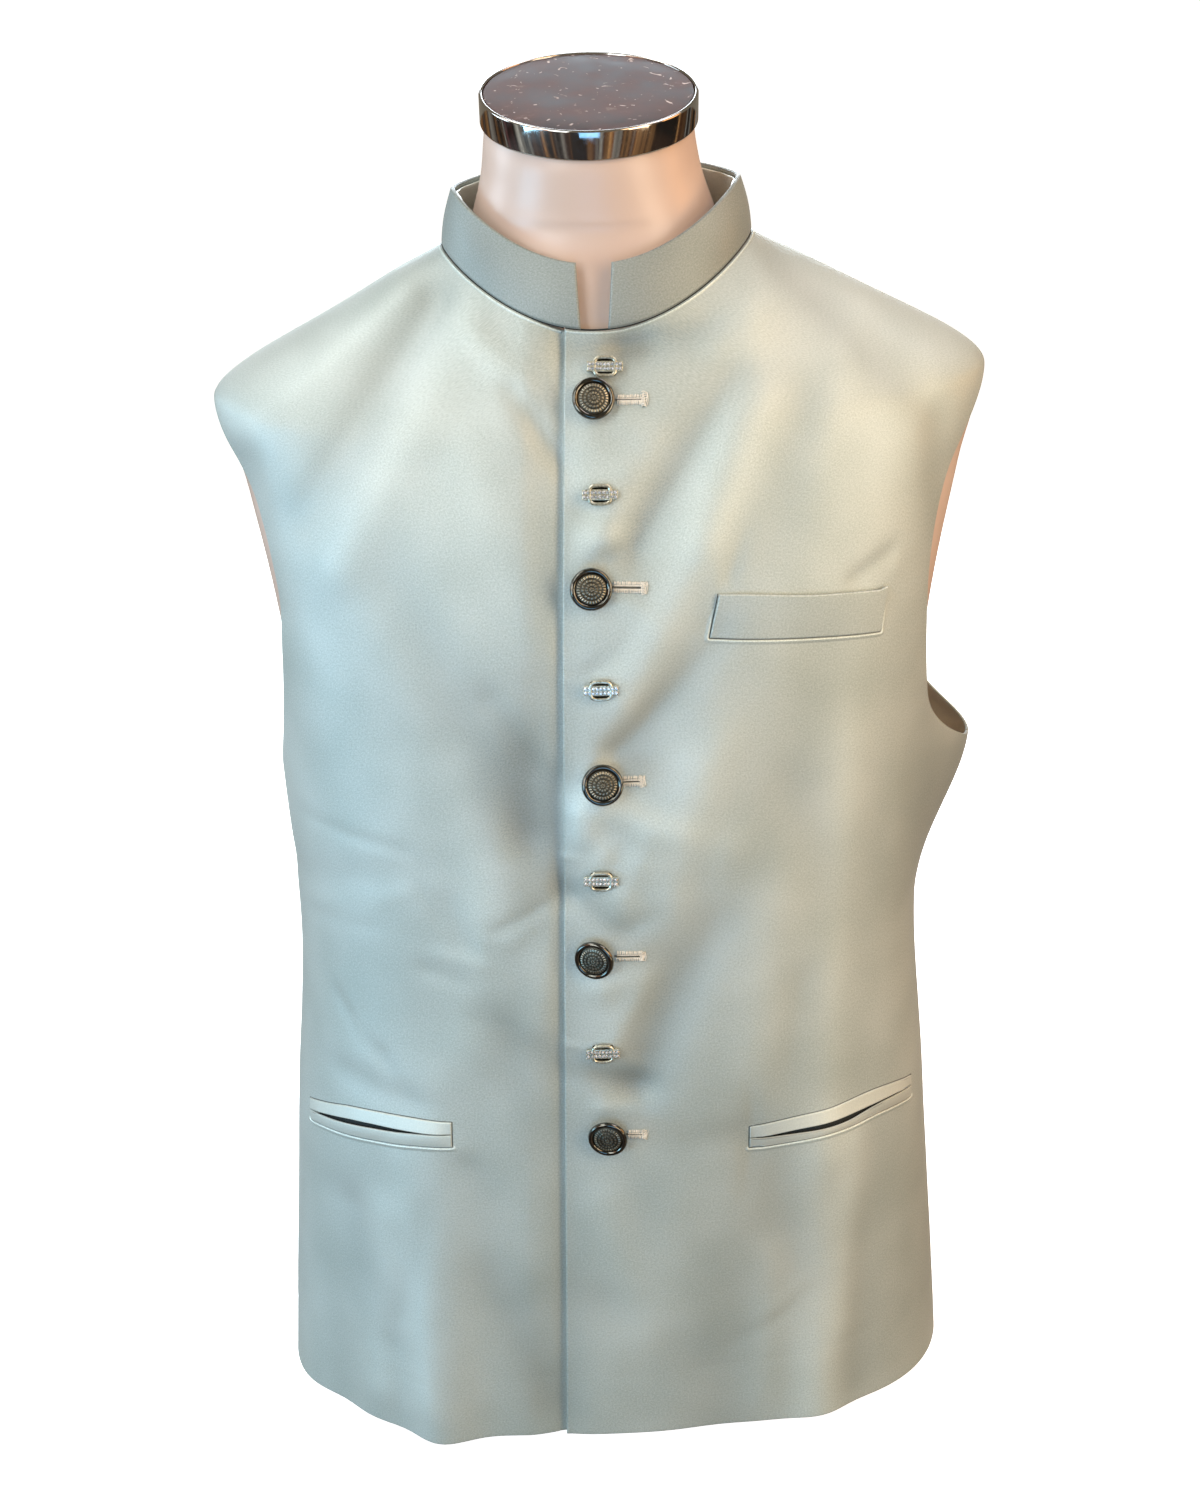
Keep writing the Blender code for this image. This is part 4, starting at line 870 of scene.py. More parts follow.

# %% [markdown]
# ## Neckline seam
# Where the collar is sewn on, the panels' edge turns down into a dark line with a pressed,
# pale roll under it. It could be painted on in the material alone. Here it is a narrow strip
# of the same cloth on each panel, so it catches the light as a roll does, and its colour is
# painted as well: darker in the groove as painted shadow and paler on the roll as painted
# highlight. A near-black tape closes the gap behind it as painted shade.

# %% Neckline seam
def neck_seam(name, first, last, columns, step=None):
    """The panel's edge, turned down and pressed under the collar, between two angles: at a
    distance s below the seam a groove up to 0.8 mm, then a roll 0.4 mm high; the groove is
    painted dark as painted shadow and the roll pale as painted highlight."""
    s = np.array([3.0, 2.4, 1.9, 1.5, 1.2, 0.95, 0.75, 0.6])[:, None]
    turn = np.linspace(first, last, columns)[None, :] + 0 * s
    top = np.ones_like(turn)
    speed = np.linalg.norm(body_point(turn, top) - body_point(turn, 0.99 * top), axis=-1)
    v = 1 - NECK_MARGIN - 0.01 * s / speed
    rise = 0.4 * smooth((s - 0.6) / 0.4) * (1 - smooth((s - 1.1) / 1.6))
    rise = rise + 0.06 - 0.2 * smooth((s - 1.7) / 1.2) + (step(turn, v) if step else 0)
    # Painted shadow in the groove and painted highlight on the roll.
    tone = 3.0 * np.exp(-((s - 1.3) / 0.5) ** 2) - 5 * (1 - smooth((s - 0.6) / 0.3))
    made = wall(name, cloth(turn, v, rise), cloth(turn, v, rise - 0.9), (SATIN,), 0.05,
                steps=1, tone=tone)
    return made


overlap = float(upper_edge_turn(1.0))
seam_left = neck_seam("neck_seam_left", overlap + 0.012, np.pi / 2 - 0.004, 130)
seam_right = neck_seam("neck_seam_right", 0.004 - np.pi / 2, overlap - 0.012, 110, layer_step)
seam_back = neck_seam("neck_seam_back", np.pi / 2 + 0.004, 1.5 * np.pi - 0.004, 220)
# A near-black tape in the gap under the collar seam, as painted shade.
rise, turn = np.meshgrid(np.linspace(-0.016, 0.012, 6),
                         np.linspace(overlap + 0.004, overlap + 2 * np.pi - 0.004, 320),
                         indexing="ij")
deep = COLLAR_PROUD + 0.7 + 0 * turn
neck_gap_shade = wall("neck_gap_shade_cloth", collar_faces(turn, rise, deep),
                 collar_faces(turn, rise, deep + 0.5), (POCKETING_AS_SHADE,), 0.1, steps=1)

# %% [markdown]
# ## Breast welt and lower pockets
# A welt is a folded strip sewn on along its lower edge and both ends, so its top stands
# off and its face leans down. A jet is a narrow folded lip; two of them edge a cut in the
# cloth, and this mouth gapes. Round both, the cloth is cut and turned in, which leaves a
# fine gap and then a soft raised lip; the gap is painted dark as painted shadow and the lip
# pale as painted highlight. All of it could be cut into one mesh with the front. Here the
# strips are walls over the front's own points, tilted across their width, and the lip is a
# profile carried round the opening, so each stays a simple grid.

# %% Strips and lips
def strip_wall(name, x, z, out, looks, thick=1.3, roll=0.6, tone=0.0):
    """A strip over the front: out is the height of its face over the cloth."""
    turn, v = find(x, z)
    return wall(name, cloth(turn, v, out), cloth(turn, v, out - thick), looks, roll, tone=tone)


def opening_lip(name, base, direction, height=0.55, strength=1.0):
    """The seam and the turned-in cloth round an opening, at distances s from its edge: up
    to 0.7 mm a stitched groove, painted dark as painted shadow, then a pressed roll height *
    strength high, painted pale as painted highlight, which ends at s = 4.3 mm, just under the
    front. base are x and z along the edge and direction the unit vectors that point away;
    strength is a share for every place of the edge."""
    s = np.array([0.02, 0.1, 0.4, 0.7, 0.9, 1.15, 1.5, 1.95, 2.5, 3.3, 4.3])[:, None]
    strength = np.broadcast_to(strength, len(base))
    rise = height * strength * smooth((s - 0.7) / 0.4) * (1 - smooth((s - 1.2) / 3.0))
    rise = rise + 0.07 - 0.2 * strength * smooth((s - 1) / 3)
    rise -= 0.5 * (1 - strength) * smooth((s - 0.7) / 0.4)
    rise[0] = -0.5
    x = base[None, :, 0] + direction[None, :, 0] * s
    z = base[None, :, 1] + direction[None, :, 1] * s
    turn, v = find(x, z)
    # Painted shadow in the stitched groove and painted highlight on the roll.
    tone = 3.6 * np.exp(-((s - 1.2) / 0.5) ** 2) * strength - 5 * (1 - smooth((s - 0.55) / 0.3))
    return wall(name, cloth(turn, v, rise), cloth(turn, v, np.minimum(rise - 0.9, -0.5)),
                (SATIN,), 0.05, steps=1, tone=tone)


def corner_run(corner, quarter):
    """Base and directions at a sharp corner, where the direction turns clockwise through
    the given quarter, from straight up if that is 0."""
    turn = (np.linspace(0, 1, 7)[1:-1] + quarter) * np.pi / 2
    return np.repeat([corner], 5, 0), np.stack([np.sin(turn), np.cos(turn)], -1)


def end_run(start, end, side):
    """Base and directions of an opening's upright end; side is -1 left and +1 right."""
    points = between(start, end, np.linspace(0, 1, 12)[1:-1, None])
    return points, np.repeat([(side, 0.0)], 10, 0)


def edge_run(x, z, side):
    """Base and directions of a nearly level edge; side is +1 above and -1 below it."""
    slope = np.gradient(z, x)
    away = np.stack([-slope, np.ones_like(slope)], -1) * side
    return np.stack([x, z], -1), away / np.linalg.norm(away, axis=-1, keepdims=True)

# %% Breast welt
WELT_LOW = np.array([(61.8, 547.7), (159.4, 541.0)])        # left and right corners, x and z
WELT_TOP = np.array([(66.6, 572.2), (162.3, 565.4)])
WELT_ROWS = 18                                              # places along each end's lip
LEFT_AWAY, RIGHT_AWAY = (-0.987, 0.161), (0.998, -0.061)    # outwards from the two ends
LEFT_CORNER = ((-0.92, -0.39), (-0.80, -0.60), (-0.62, -0.78), (-0.40, -0.92), (-0.2, -0.98))
RIGHT_CORNER = ((0.2, -0.98), (0.45, -0.89), (0.67, -0.74), (0.84, -0.54), (0.95, -0.31))
share, slant = np.linspace(0, 1, 110)[None, :], np.linspace(0, 1, 30)[:, None]
x, z = (between(between(*WELT_LOW[:, k], share), between(*WELT_TOP[:, k], share), slant)
        for k in (0, 1))
z = z + 0.25 * np.sin(share * 9) * slant + 1.7 * smooth((share - 0.94) / 0.06) * slant**3
out = 1.2 + (2.1 + 0.7 * np.sin(np.pi * share)) * slant + 0 * x
breast_welt = strip_wall("breast_welt_cloth", x, z, out, (SATIN, LINING), 1.6, 0.7)
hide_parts("breast_welt")

rise = np.linspace(0, 1, WELT_ROWS)
runs = [(between(WELT_TOP[0], WELT_LOW[0], rise[:, None]), [LEFT_AWAY] * WELT_ROWS),
        ([WELT_LOW[0]] * 5, LEFT_CORNER),
        edge_run(*np.linspace(*WELT_LOW, 90).T, -1),
        ([WELT_LOW[1]] * 5, RIGHT_CORNER),
        (between(WELT_LOW[1], WELT_TOP[1], rise[:, None]), [RIGHT_AWAY] * WELT_ROWS)]
base, away = (np.concatenate([run[k] for run in runs]) for k in (0, 1))
fade = np.concatenate([smooth(rise / 0.8), np.ones(len(base) - 2 * WELT_ROWS),
                       0.75 * smooth((1 - rise) / 0.8)])
opening_lip("breast_welt_seam", base, away, 0.5, fade)

# %% Lower pockets
for side, rows in POCKETS.items():
    x = np.linspace(rows[0].x, rows[-1].x, 110)
    top, mouth_top, mouth_low, bottom = (
        spline(column_of(rows, "x"), column_of(rows, edge), x)
        for edge in ("top", "mouth_top", "mouth_low", "bottom"))
    mouth_low = mouth_low - 0.6 * np.sin(np.pi * (x - x[0]) / (x[-1] - x[0])) ** 2
    step = np.linspace(0, 1, 12)[:, None]
    wide = x[None, :] + 0 * step
    ends = (smooth((x - x[0]) / 9) * smooth((x[-1] - x) / 9))[None, :]
    # Both jets are painted darker by tone, the lower one more, as painted shade.
    upper = strip_wall(f"pocket_{side}_upper_jet_cloth", wide, between(mouth_top, top, step),
                       0.8 + (0.3 + 1.0 * ends) * (1 - step), (SATIN_PAINTED_SHEEN, LINING),
                       tone=-0.4)
    lower = strip_wall(f"pocket_{side}_lower_jet_cloth", wide,
                       between(bottom, mouth_low, step),
                       0.9 + (0.2 + 0.5 * ends) * np.sin(step * 2.2),
                       (SATIN_PAINTED_SHEEN, LINING), tone=-0.8)
    # The bag behind each mouth is near-black cotton, as painted shade inside the mouth.
    behind = between(mouth_low, mouth_top, 1.5 * step - 0.25) + 4 * (step - 0.5)
    bag = strip_wall(f"pocket_{side}_bag_cloth", wide[:, 3:-3], behind[:, 3:-3],
                     -1.6 + 0 * wide[:, 3:-3], (POCKETING_AS_SHADE,), 0.5, 0.2)
    for piece, node in ((upper, f"pocket_{side}_upper_jet"),
                        (lower, f"pocket_{side}_lower_jet")):
        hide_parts(node)
    # The lip goes clockwise round the whole opening, from its upper left corner.
    left_top, left_low = np.array([(x[0], top[0]), (x[0], bottom[0])])
    right_top, right_low = np.array([(x[-1], top[-1]), (x[-1], bottom[-1])])
    around = [edge_run(x, top, 1), corner_run(right_top, 0),
              end_run(right_top, right_low, 1.0), corner_run(right_low, 1),
              tuple(a[::-1] for a in edge_run(x, bottom, -1)), corner_run(left_low, 2),
              end_run(left_low, left_top, -1.0), corner_run(left_top, 3),
              ([left_top], [(0.0, 1.0)])]
    base, away = (np.concatenate([run[k] for run in around]) for k in (0, 1))
    lower_half = 0.02 + 0.98 * smooth(0.3 - away[:, 1])
    opening_lip(f"pocket_{side}_lip", base, away, 0.6, lower_half)

# %% [markdown]
# ## Places on the front
# Buttons and ornaments are sewn or clipped on when the front is finished. They are made
# flat here too, in their own frame, and then laid on the front. The frame's Z is the
# cloth's normal and its Y runs up the front. Each could be modelled in place, but then a
# change of the cloth would leave it in the air.

# %% Frames on the front
def on_front(x, z, out, reach, turn_deg=0.0, tip_deg=0.0):
    """A 4x4 frame at (x, z) on the front, in millimetres, turned and tipped. It is lifted
    by the highest crease within reach (half width, half height) of the place."""
    turn, v = find(x + reach[0] * np.linspace(-1, 1, 7)[None, :],
                   z + reach[1] * np.linspace(-1, 1, 5)[:, None])
    off = cloth(turn, v, 1.0, fine=0) - cloth(turn, v, fine=0)
    lift = ((cloth(turn, v) - cloth(turn, v, fine=0)) * off).sum(-1).max()
    turn, v, off = turn[2, 3], v[2, 3], off[2, 3]
    here = cloth(turn, v, out + lift, fine=0)
    normal = Vector(off).normalized()
    across = Vector((0, 0, 1)).cross(normal).normalized()
    axes = Matrix((across, normal.cross(across), normal)).transposed().to_4x4()
    return np.array(Matrix.Translation(Vector(here)) @ axes
                    @ Matrix.Rotation(math.radians(turn_deg), 4, "Y")
                    @ Matrix.Rotation(math.radians(-tip_deg), 4, "X"))


def about_z(degrees):
    """The matrix that turns rows of points about the frame's own Z."""
    return np.array(Matrix.Rotation(math.radians(degrees), 3, "Z")).T


def laid(points, place):
    """Points moved from the frame into the row's space."""
    return points @ place[:3, :3].T + place[:3, 3]

# %% [markdown]
# ## Cast buttons
# The real ones are die-cast zinc, plated dark and rubbed bright on the high places: a
# polished rim like half a ring, a ring of short bars between fine beads, two rings of
# petals and a small rosette. They could be a turned profile with a bump texture. Here the
# face is a height over radius and angle, worked out on a fine polar grid, so the relief
# catches light from every side. The same height drives the wear between dark and bright.

# %% Button material
GUNMETAL, tree, shader = start_material("rubbed gunmetal plate", "6e6e64", 0.30, Metallic=1.0)
worn = add(tree, "Attribute", attribute_name="wear_and_painted_shade")
mixed = add(tree, "Math", {0: noise(tree, 900.0, 3.0).outputs[0], 1: 0.30,
                           2: worn.outputs["Fac"]}, operation="MULTIPLY_ADD").outputs[0]
feed(shader, Roughness=span(tree, mixed, 0.2, 1.1, 0.55, 0.18), Base_Color=add(
    tree, "ValToRGB", {0: mixed}, ((0.20, "1d1d19"), (0.58, "57564c"), (1.0, "b4b09e"))))
POLISHED = speckled(
    start_material("polished black nickel", "2e2d28", 0.2, Metallic=1.0, Coat_Weight=1.0,
                   Coat_Roughness=0.05),
    500.0, 4.0, ((0.3, "33332d"), (0.7, "5c5a50")), rough=(0.3, 0.7, 0.09, 0.2))

# %% Button relief
Button = namedtuple("Button", "x z turn_deg tip_deg spin_deg")
BUTTONS = (Button(-0.7, 675.0,   6,  2, 10), Button(-3.7, 577.0,   5,  2, 37),
           Button( 0.8, 466.6,   4, 12, -8), Button(-3.8, 361.4, -18, -4, 52),
           Button( 1.3, 247.7,  -8, -9, 21))
BUTTON_RADIUS, SHANK_HEIGHT, SHANK_GAP = 11.8, 3.8, 0.9
RIM_MIDDLE, RIM_HALF, RIM_LOW, RIM_RISE = 10.15, 1.75, 5.15, 2.0
DOME_EDGE, DOME_BASE, DOME_RISE, DOME_STRETCH = 8.85, 6.2, 1.15, 1.03
RIM_RINGS, DOME_RINGS, BUTTON_SIDES = 20, 74, 180
RIM_SPAN, DOME_SPAN = (11.2, 8.66), (8.6, 0.12)     # radii of the first and last rings
# Radius and height of the rings below: the shank, the flat back and the rim's outside.
UNDERSIDE = ((2.4, 0.0), (2.6, 0.25), (2.6, 3.3), (3.2, SHANK_HEIGHT), (9.6, SHANK_HEIGHT),
             (10.9, 4.0), (11.5, 4.45), (BUTTON_RADIUS, 5.05), (11.72, 5.5), (11.5, 6.2))


def bump_ring(radius, middle, half):
    """1 on a ring and 0 beyond its half-width, as a raised cosine."""
    near = np.clip(np.abs(radius - middle) / half, 0, 1)
    return 0.5 + 0.5 * np.cos(np.pi * near)


def button_face(radius, angle):
    """Height and wear of the face. A rim like half a ring, then a shallow dome that
    carries beads (raised cosines of radius) and bars and petals (powers of |cos| of the
    angle times a count, held between two radii)."""
    inward = (radius - RIM_MIDDLE) / RIM_HALF
    rim = RIM_LOW + RIM_RISE * np.sqrt(np.clip(1 - inward**2, 0, None))
    radius = DOME_STRETCH * radius + 0 * angle
    dome = DOME_BASE + DOME_RISE * (1 - (radius / 9.0) ** 2)
    relief = 0.16 * (bump_ring(radius, 8.55, 0.32) + bump_ring(radius, 6.15, 0.30)
                     + bump_ring(radius, 4.0, 0.28) + bump_ring(radius, 1.75, 0.25))
    band = smooth((radius - 6.45) / 0.3) * smooth((8.3 - radius) / 0.3)
    relief += 0.36 * band * np.abs(np.cos(angle * 15)) ** 0.7
    petals = smooth((radius - 4.3) / 0.3) * smooth((5.9 - radius) / 0.5)
    relief += 0.28 * petals * np.abs(np.cos(angle * 8 + 0.3 * radius)) ** 0.6
    inner = smooth((radius - 2.0) / 0.3) * smooth((3.75 - radius) / 0.5)
    relief += 0.27 * inner * np.abs(np.cos(angle * 6)) ** 0.6
    heart = smooth((1.5 - radius) / 0.3) * smooth((radius - 0.25) / 0.4)
    relief += 0.28 * heart * np.abs(np.cos(angle * 3)) ** 0.6 + 0.3 * smooth(1 - radius / 0.4)
    inside = radius < DOME_EDGE
    height = np.where(inside, dome + relief, rim)
    height = np.where((radius > 8.6) & inside, np.minimum(height, rim + 0.2), height)
    wear_and_painted_shade = np.where(inside, 0.16 + 1.6 * relief, 0.22)
    wear_and_painted_shade = np.where(np.abs(radius - 8.9) < 0.2, 0.0, wear_and_painted_shade)
    return height, wear_and_painted_shade

# %% Buttons
def button(number, spec):
    """The whole button: shank, back and rim turned about Z, and the face on top."""
    angle, low = full_turn(BUTTON_SIDES), np.array(UNDERSIDE)
    face_radius = np.concatenate([np.linspace(*RIM_SPAN, RIM_RINGS),
                                  np.linspace(*DOME_SPAN, DOME_RINGS)])
    height, wear_and_painted_shade = button_face(face_radius[:, None], angle[None, :])
    radius = np.concatenate([low[:, 0], face_radius])[:, None]
    tall = np.concatenate([np.repeat(low[:, 1:], BUTTON_SIDES, 1), height])
    points = with_poles(xyz(radius * np.cos(angle), radius * np.sin(angle), tall),
                        0, height[-1].mean())
    worn = np.concatenate([[0.3], np.full(len(low) * BUTTON_SIDES, 0.35), wear_and_painted_shade.ravel(), [0.5]])
    place = on_front(spec.x, spec.z, SHANK_GAP, (2, 2), spec.turn_deg, spec.tip_deg)
    skin, low_cap, high_cap = closed_rings(len(radius), BUTTON_SIDES)
    rim = (len(low) + RIM_RINGS - 1) * BUTTON_SIDES
    made = put_mesh(f"button_{number}_cast", laid(points @ about_z(spec.spin_deg), place),
                    [skin[:rim], low_cap, skin[rim:], high_cap], (POLISHED, GUNMETAL),
                    marks=[0, 0, 1, 1], wear_and_painted_shade=worn, sharp=0)
    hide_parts(f"button_{number}")
    return made


button_pieces = [button(k, spec) for k, spec in enumerate(BUTTONS, 1)]

# %% [markdown]
# ## Threads
# A stitch is a short closed tube of thread that follows a small arc. It could be a curve
# object with a bevel, one for each. Hundreds of them make a buttonhole, so each has only a
# few faces, and all of one hole are one mesh built from whole arrays.

# %% Thread material and tubes
THREAD = speckled(
    start_material("mercerised cotton twist", "e9e4d6", 0.55, Sheen_Weight=0.35,
                   Sheen_Roughness=0.4),
    2600.0, 2.0, ((0.3, "cfcabb"), (0.7, "f3efe3")), bump=(0.5, 0.00006))
SHADOW = speckled(start_material("raw cut edge in shade", "3b4444", 0.9),
                  1500.0, 2.0, ((0.3, "4a4c48"), (0.7, "79796f")))


def thread_tubes(paths, radius, sides=5):
    """Closed tubes round many paths at once: paths are (threads, places, 3). A ring at each
    place lies across the path's direction, radius * cos and sin along two side vectors, and
    the first and last place close to a point."""
    along = np.gradient(paths, axis=1)
    along /= np.linalg.norm(along, axis=-1, keepdims=True)
    side = np.cross(along, np.array([0.13, 0.21, 0.97]))
    side /= np.linalg.norm(side, axis=-1, keepdims=True)
    third = np.cross(along, side)
    angle = full_turn(sides)[:, None]
    rings = (paths[:, 1:-1, None] + radius * (np.cos(angle) * side[:, 1:-1, None]
                                              + np.sin(angle) * third[:, 1:-1, None]))
    threads, places = paths.shape[:2]
    each = (places - 2) * sides + 2
    points = np.concatenate([paths[:, :1], rings.reshape(threads, -1, 3), paths[:, -1:]], 1)
    return points.reshape(-1, 3), repeated(closed_rings(places - 2, sides), threads, each)

# %% [markdown]
# ## Worked buttonholes
# A tailor cuts the slit, lays a gimp along both sides and covers it with purl stitches, one
# beside the other, and closes the outer end with a bar tack. From a step away that reads as
# two cream lips with a dark slit between, and a small upright bar. Each lip is a row of
# arched stitches 0.62 mm apart with a little unevenness in their length.

# %% Buttonholes
Hole = namedtuple("Hole", "x z length slant_deg gap bar")
HOLES = (Hole(12.6, 675.4, 13.6, -1, 1.3, 8.4), Hole( 9.0, 577.6, 15.4, -2, 2.1, 7.4),
         Hole(12.2, 466.4, 10.0,  0, 1.8, 7.2), Hole( 7.6, 361.0, 13.6, -2, 1.9, 6.8),
         Hole(12.6, 246.6,  8.6, -3, 1.5, 6.6))
STITCH_PITCH, STITCH_WIDTH, THREAD_RADIUS = 0.62, 2.6, 0.27
BAR_PLACES = (0, 0.45, 0.9, 2.3, 2.8)       # the bar tack's long threads, past the slit's end


def on_hole(hole, along, across, out):
    """Points of the finished front, fine creases included, from places along and across
    the slit, which slants a little."""
    slant = math.radians(hole.slant_deg)
    x = hole.x + along * math.cos(slant) - across * math.sin(slant)
    z = hole.z + along * math.sin(slant) + across * math.cos(slant)
    return cloth(*find(x, z), out)


def buttonhole(number, hole):
    """Two lips of arched stitches, a bar of crossing threads at the end, and the slit."""
    chance = np.random.default_rng(40 + number)
    count = int(hole.length / STITCH_PITCH)
    at = ((np.arange(count) + 0.5) * hole.length / count)[:, None]
    share = np.linspace(0, 1, 7)
    paths = []
    for side in (1, -1):
        width = STITCH_WIDTH + 0.15 * chance.standard_normal(count)[:, None]
        across = side * (hole.gap / 2 - 0.35 + width * share)
        along = at + 0.16 * chance.standard_normal(count)[:, None] + 0.25 * share
        high = 0.12 + 1.05 * np.sin(np.pi * np.clip(share * 1.02 + 0.08, 0, 1)) ** 0.7
        paths.append(xyz(along, across, high))
        # The row of knots that lies along the slit.
        across = side * (hole.gap / 2 - 0.1) + 0.22 * np.sin(share * 6.28)
        paths.append(xyz(at + 0.55 * (share - 0.5), across, 0.85 + 0.3 * np.sin(np.pi * share)))
    bar_x = hole.length + 0.1 + np.array(BAR_PLACES)[:, None]
    bar_y = hole.bar * (share - 0.5) + 0.25 * chance.standard_normal(len(bar_x))[:, None]
    paths.append(xyz(bar_x + 0.35 * np.sin(share * 5 + bar_x * 3), bar_y,
                     0.1 + 0.95 * np.sin(np.pi * share) ** 0.5))
    cross_y = np.linspace(-hole.bar / 2 + 0.6, hole.bar / 2 - 0.6, 8)[:, None]
    paths.append(xyz(hole.length - 0.7 + 3.4 * share,
                     cross_y + 0.5 * np.sin(share * 4 + cross_y * 7),
                     0.75 + 0.55 * np.sin(np.pi * share)))
    along, across, high = np.moveaxis(np.concatenate(paths), -1, 0)
    points, blocks = thread_tubes(on_hole(hole, along, across, high), THREAD_RADIUS)
    made = put_mesh(f"buttonhole_{number}", points, blocks, (THREAD,), sharp=0)
    along, across = np.meshgrid(np.linspace(-1.5, hole.length + 0.4, 24),
                                np.linspace(-hole.gap / 3, hole.gap / 3, 5))
    low = 0.16 - 0.12 * np.cos(across / hole.gap * 3 * np.pi)
    slit = wall(f"buttonhole_{number}_slit", on_hole(hole, along, across, low),
                on_hole(hole, along, across, low - 0.4), (SHADOW,), 0.1, steps=1)
    return [made, slit]


hole_pieces = sum((buttonhole(k, hole) for k, hole in enumerate(HOLES, 1)), [])

# %% [markdown]
# ## Stone-set ornaments
# Each is a small cast link in pale antique silver: a bar with two rows of foiled stones
# that passes through an open rounded frame with tiny prongs at its upper corners. The
# frame is a half-round wire carried round a rounded rectangle whose long sides bow. A
# stone is eight crown facets round a flat table, set in a claw of beads. A flat card with
# a sparkling picture would be lighter, but real facets answer the lights by themselves.

# %% Ornament materials
SILVER = speckled(start_material("pale antique silver", "d8d8c9", 0.36, Metallic=0.9),
                  700.0, 4.0, ((0.28, "8b8a77"), (0.62, "d6d5c2")), rough=(0, 1, 0.48, 0.28))
STONE, tree, shader = start_material("foil-backed cut glass", "f8fafa", 0.12, Metallic=0.35,
                                     Coat_Weight=1.0, Coat_Roughness=0.02, Coat_IOR=1.57)
facet = noise(tree, 900.0, 0.0, "Voronoi").outputs["Distance"]
feed(shader, Base_Color=add(tree, "ValToRGB", {0: facet}, ((0.1, "ffffff"), (0.7, "9aa3a9"))))

# %% Ornament shapes
def bowed_rectangle(width, height, radius, bow, count=96):
    """Points of a rounded rectangle by even steps of angle: a squared ellipse with power
    2 + 4.8 (1 - 2 radius / height), whose long sides bow out by bow at the middle."""
    angle = full_turn(count)
    power = 2 + 2.4 * (1 - radius / (height / 2)) * 2
    c, s = np.cos(angle), np.sin(angle)
    reach = (np.abs(c) ** power + np.abs(s) ** power) ** (-1 / power)
    x, y = width / 2 * c * reach, height / 2 * s * reach
    return xyz(x, y + bow * np.sign(y) * (1 - (2 * x / width) ** 2), 0)


def ring_tube(path, wide, high, sides=10):
    """A closed loop with an oval section: outwards in the plane by wide * cos, and up by
    high * sin."""
    away = np.roll(path, -1, 0) - np.roll(path, 1, 0)
    away = xyz(away[:, 1], -away[:, 0], 0)
    away /= np.linalg.norm(away, axis=-1, keepdims=True)
    angle = full_turn(sides)[None, :, None]
    points = path[:, None] + away[:, None] * wide * np.cos(angle)
    points = points + np.array([0, 0, 1]) * high * np.sin(angle)
    index = np.arange(points[..., 0].size).reshape(len(path), sides)
    index = np.concatenate([index, index[:1]])
    index = np.concatenate([index, index[:, :1]], 1)
    return points.reshape(-1, 3), grid_faces(index)


def set_down(one, blocks, centres):
    """The points and faces of one small solid, set down again at every centre."""
    return (centres[:, None] + one).reshape(-1, 3), repeated(blocks, len(centres), len(one))


def set_stones(centres, radius, height):
    """Faceted stones: a small base ring, the widest ring and a table ring of eight corners,
    turned by half a step, closed below."""
    turn = full_turn(8)
    rings = [xyz(r * np.cos(turn + shift), r * np.sin(turn + shift), z)
             for r, shift, z in ((radius * 0.8, 0, 0), (radius, 0, height * 0.35),
                                 (radius * 0.56, np.pi / 8, height))]
    return set_down(with_poles(rings, 0, height), closed_rings(3, 8), centres)


def beads(centres, radius, sides=8, rings=4):
    """Small round beads, closed at both poles."""
    rise = np.linspace(-np.pi / 2, np.pi / 2, rings + 2)[1:-1, None]
    turn = full_turn(sides)[None, :]
    ball = xyz(np.cos(rise) * np.cos(turn), np.cos(rise) * np.sin(turn), np.sin(rise))
    return set_down(radius * with_poles(ball, -1, 1), closed_rings(rings, sides), centres)


def rounded_bar(length, width, low, high):
    """A cast bar with soft edges: rings of a squared ellipse that shrink to both poles."""
    turn = full_turn(64)
    c, s = np.cos(turn), np.sin(turn)
    reach = (np.abs(c) ** 7 + np.abs(s) ** 7) ** (-1 / 7)
    rings = [xyz((length / 2 - cut) * c * reach, (width / 2 - cut) * s * reach, z)
             for cut, z in ((0.9, low), (0.1, low + 0.05), (0, low + 0.3), (0, high - 0.35),
                            (0.15, high - 0.08), (0.4, high), (1.2, high - 0.05))]
    return with_poles(rings, low, high - 0.05), closed_rings(len(rings), 64)


def join_parts(parts):
    """Points, blocks and marks of several parts (points, blocks, mark) as one mesh."""
    points, blocks, marks, start = [], [], [], 0
    for some, faces, mark in parts:
        points.append(some)
        blocks += [f + start for f in faces]
        marks += [mark] * len(faces)
        start += len(some)
    return np.concatenate(points), blocks, marks

# %% Ornaments
LINKS = ((6.3, 692.1, -1), (2.4, 626.3, 0), (1.1, 521.3, 0), (-0.7, 408.3, -1),
         (-1.3, 300.6, 1))                  # x and z on the front, and a turn in degrees
STONE_COLUMNS, STONE_PITCH, STONE_RADIUS = 9, 2.12, 1.02
PRONGS = ((-3.9, 5.35, 1.9), (3.9, 5.35, 1.9), (-5.3, 4.2, 2.1), (5.3, 4.2, 2.1),
          (-4.2, -5.1, 1.7), (4.2, -5.1, 1.7))


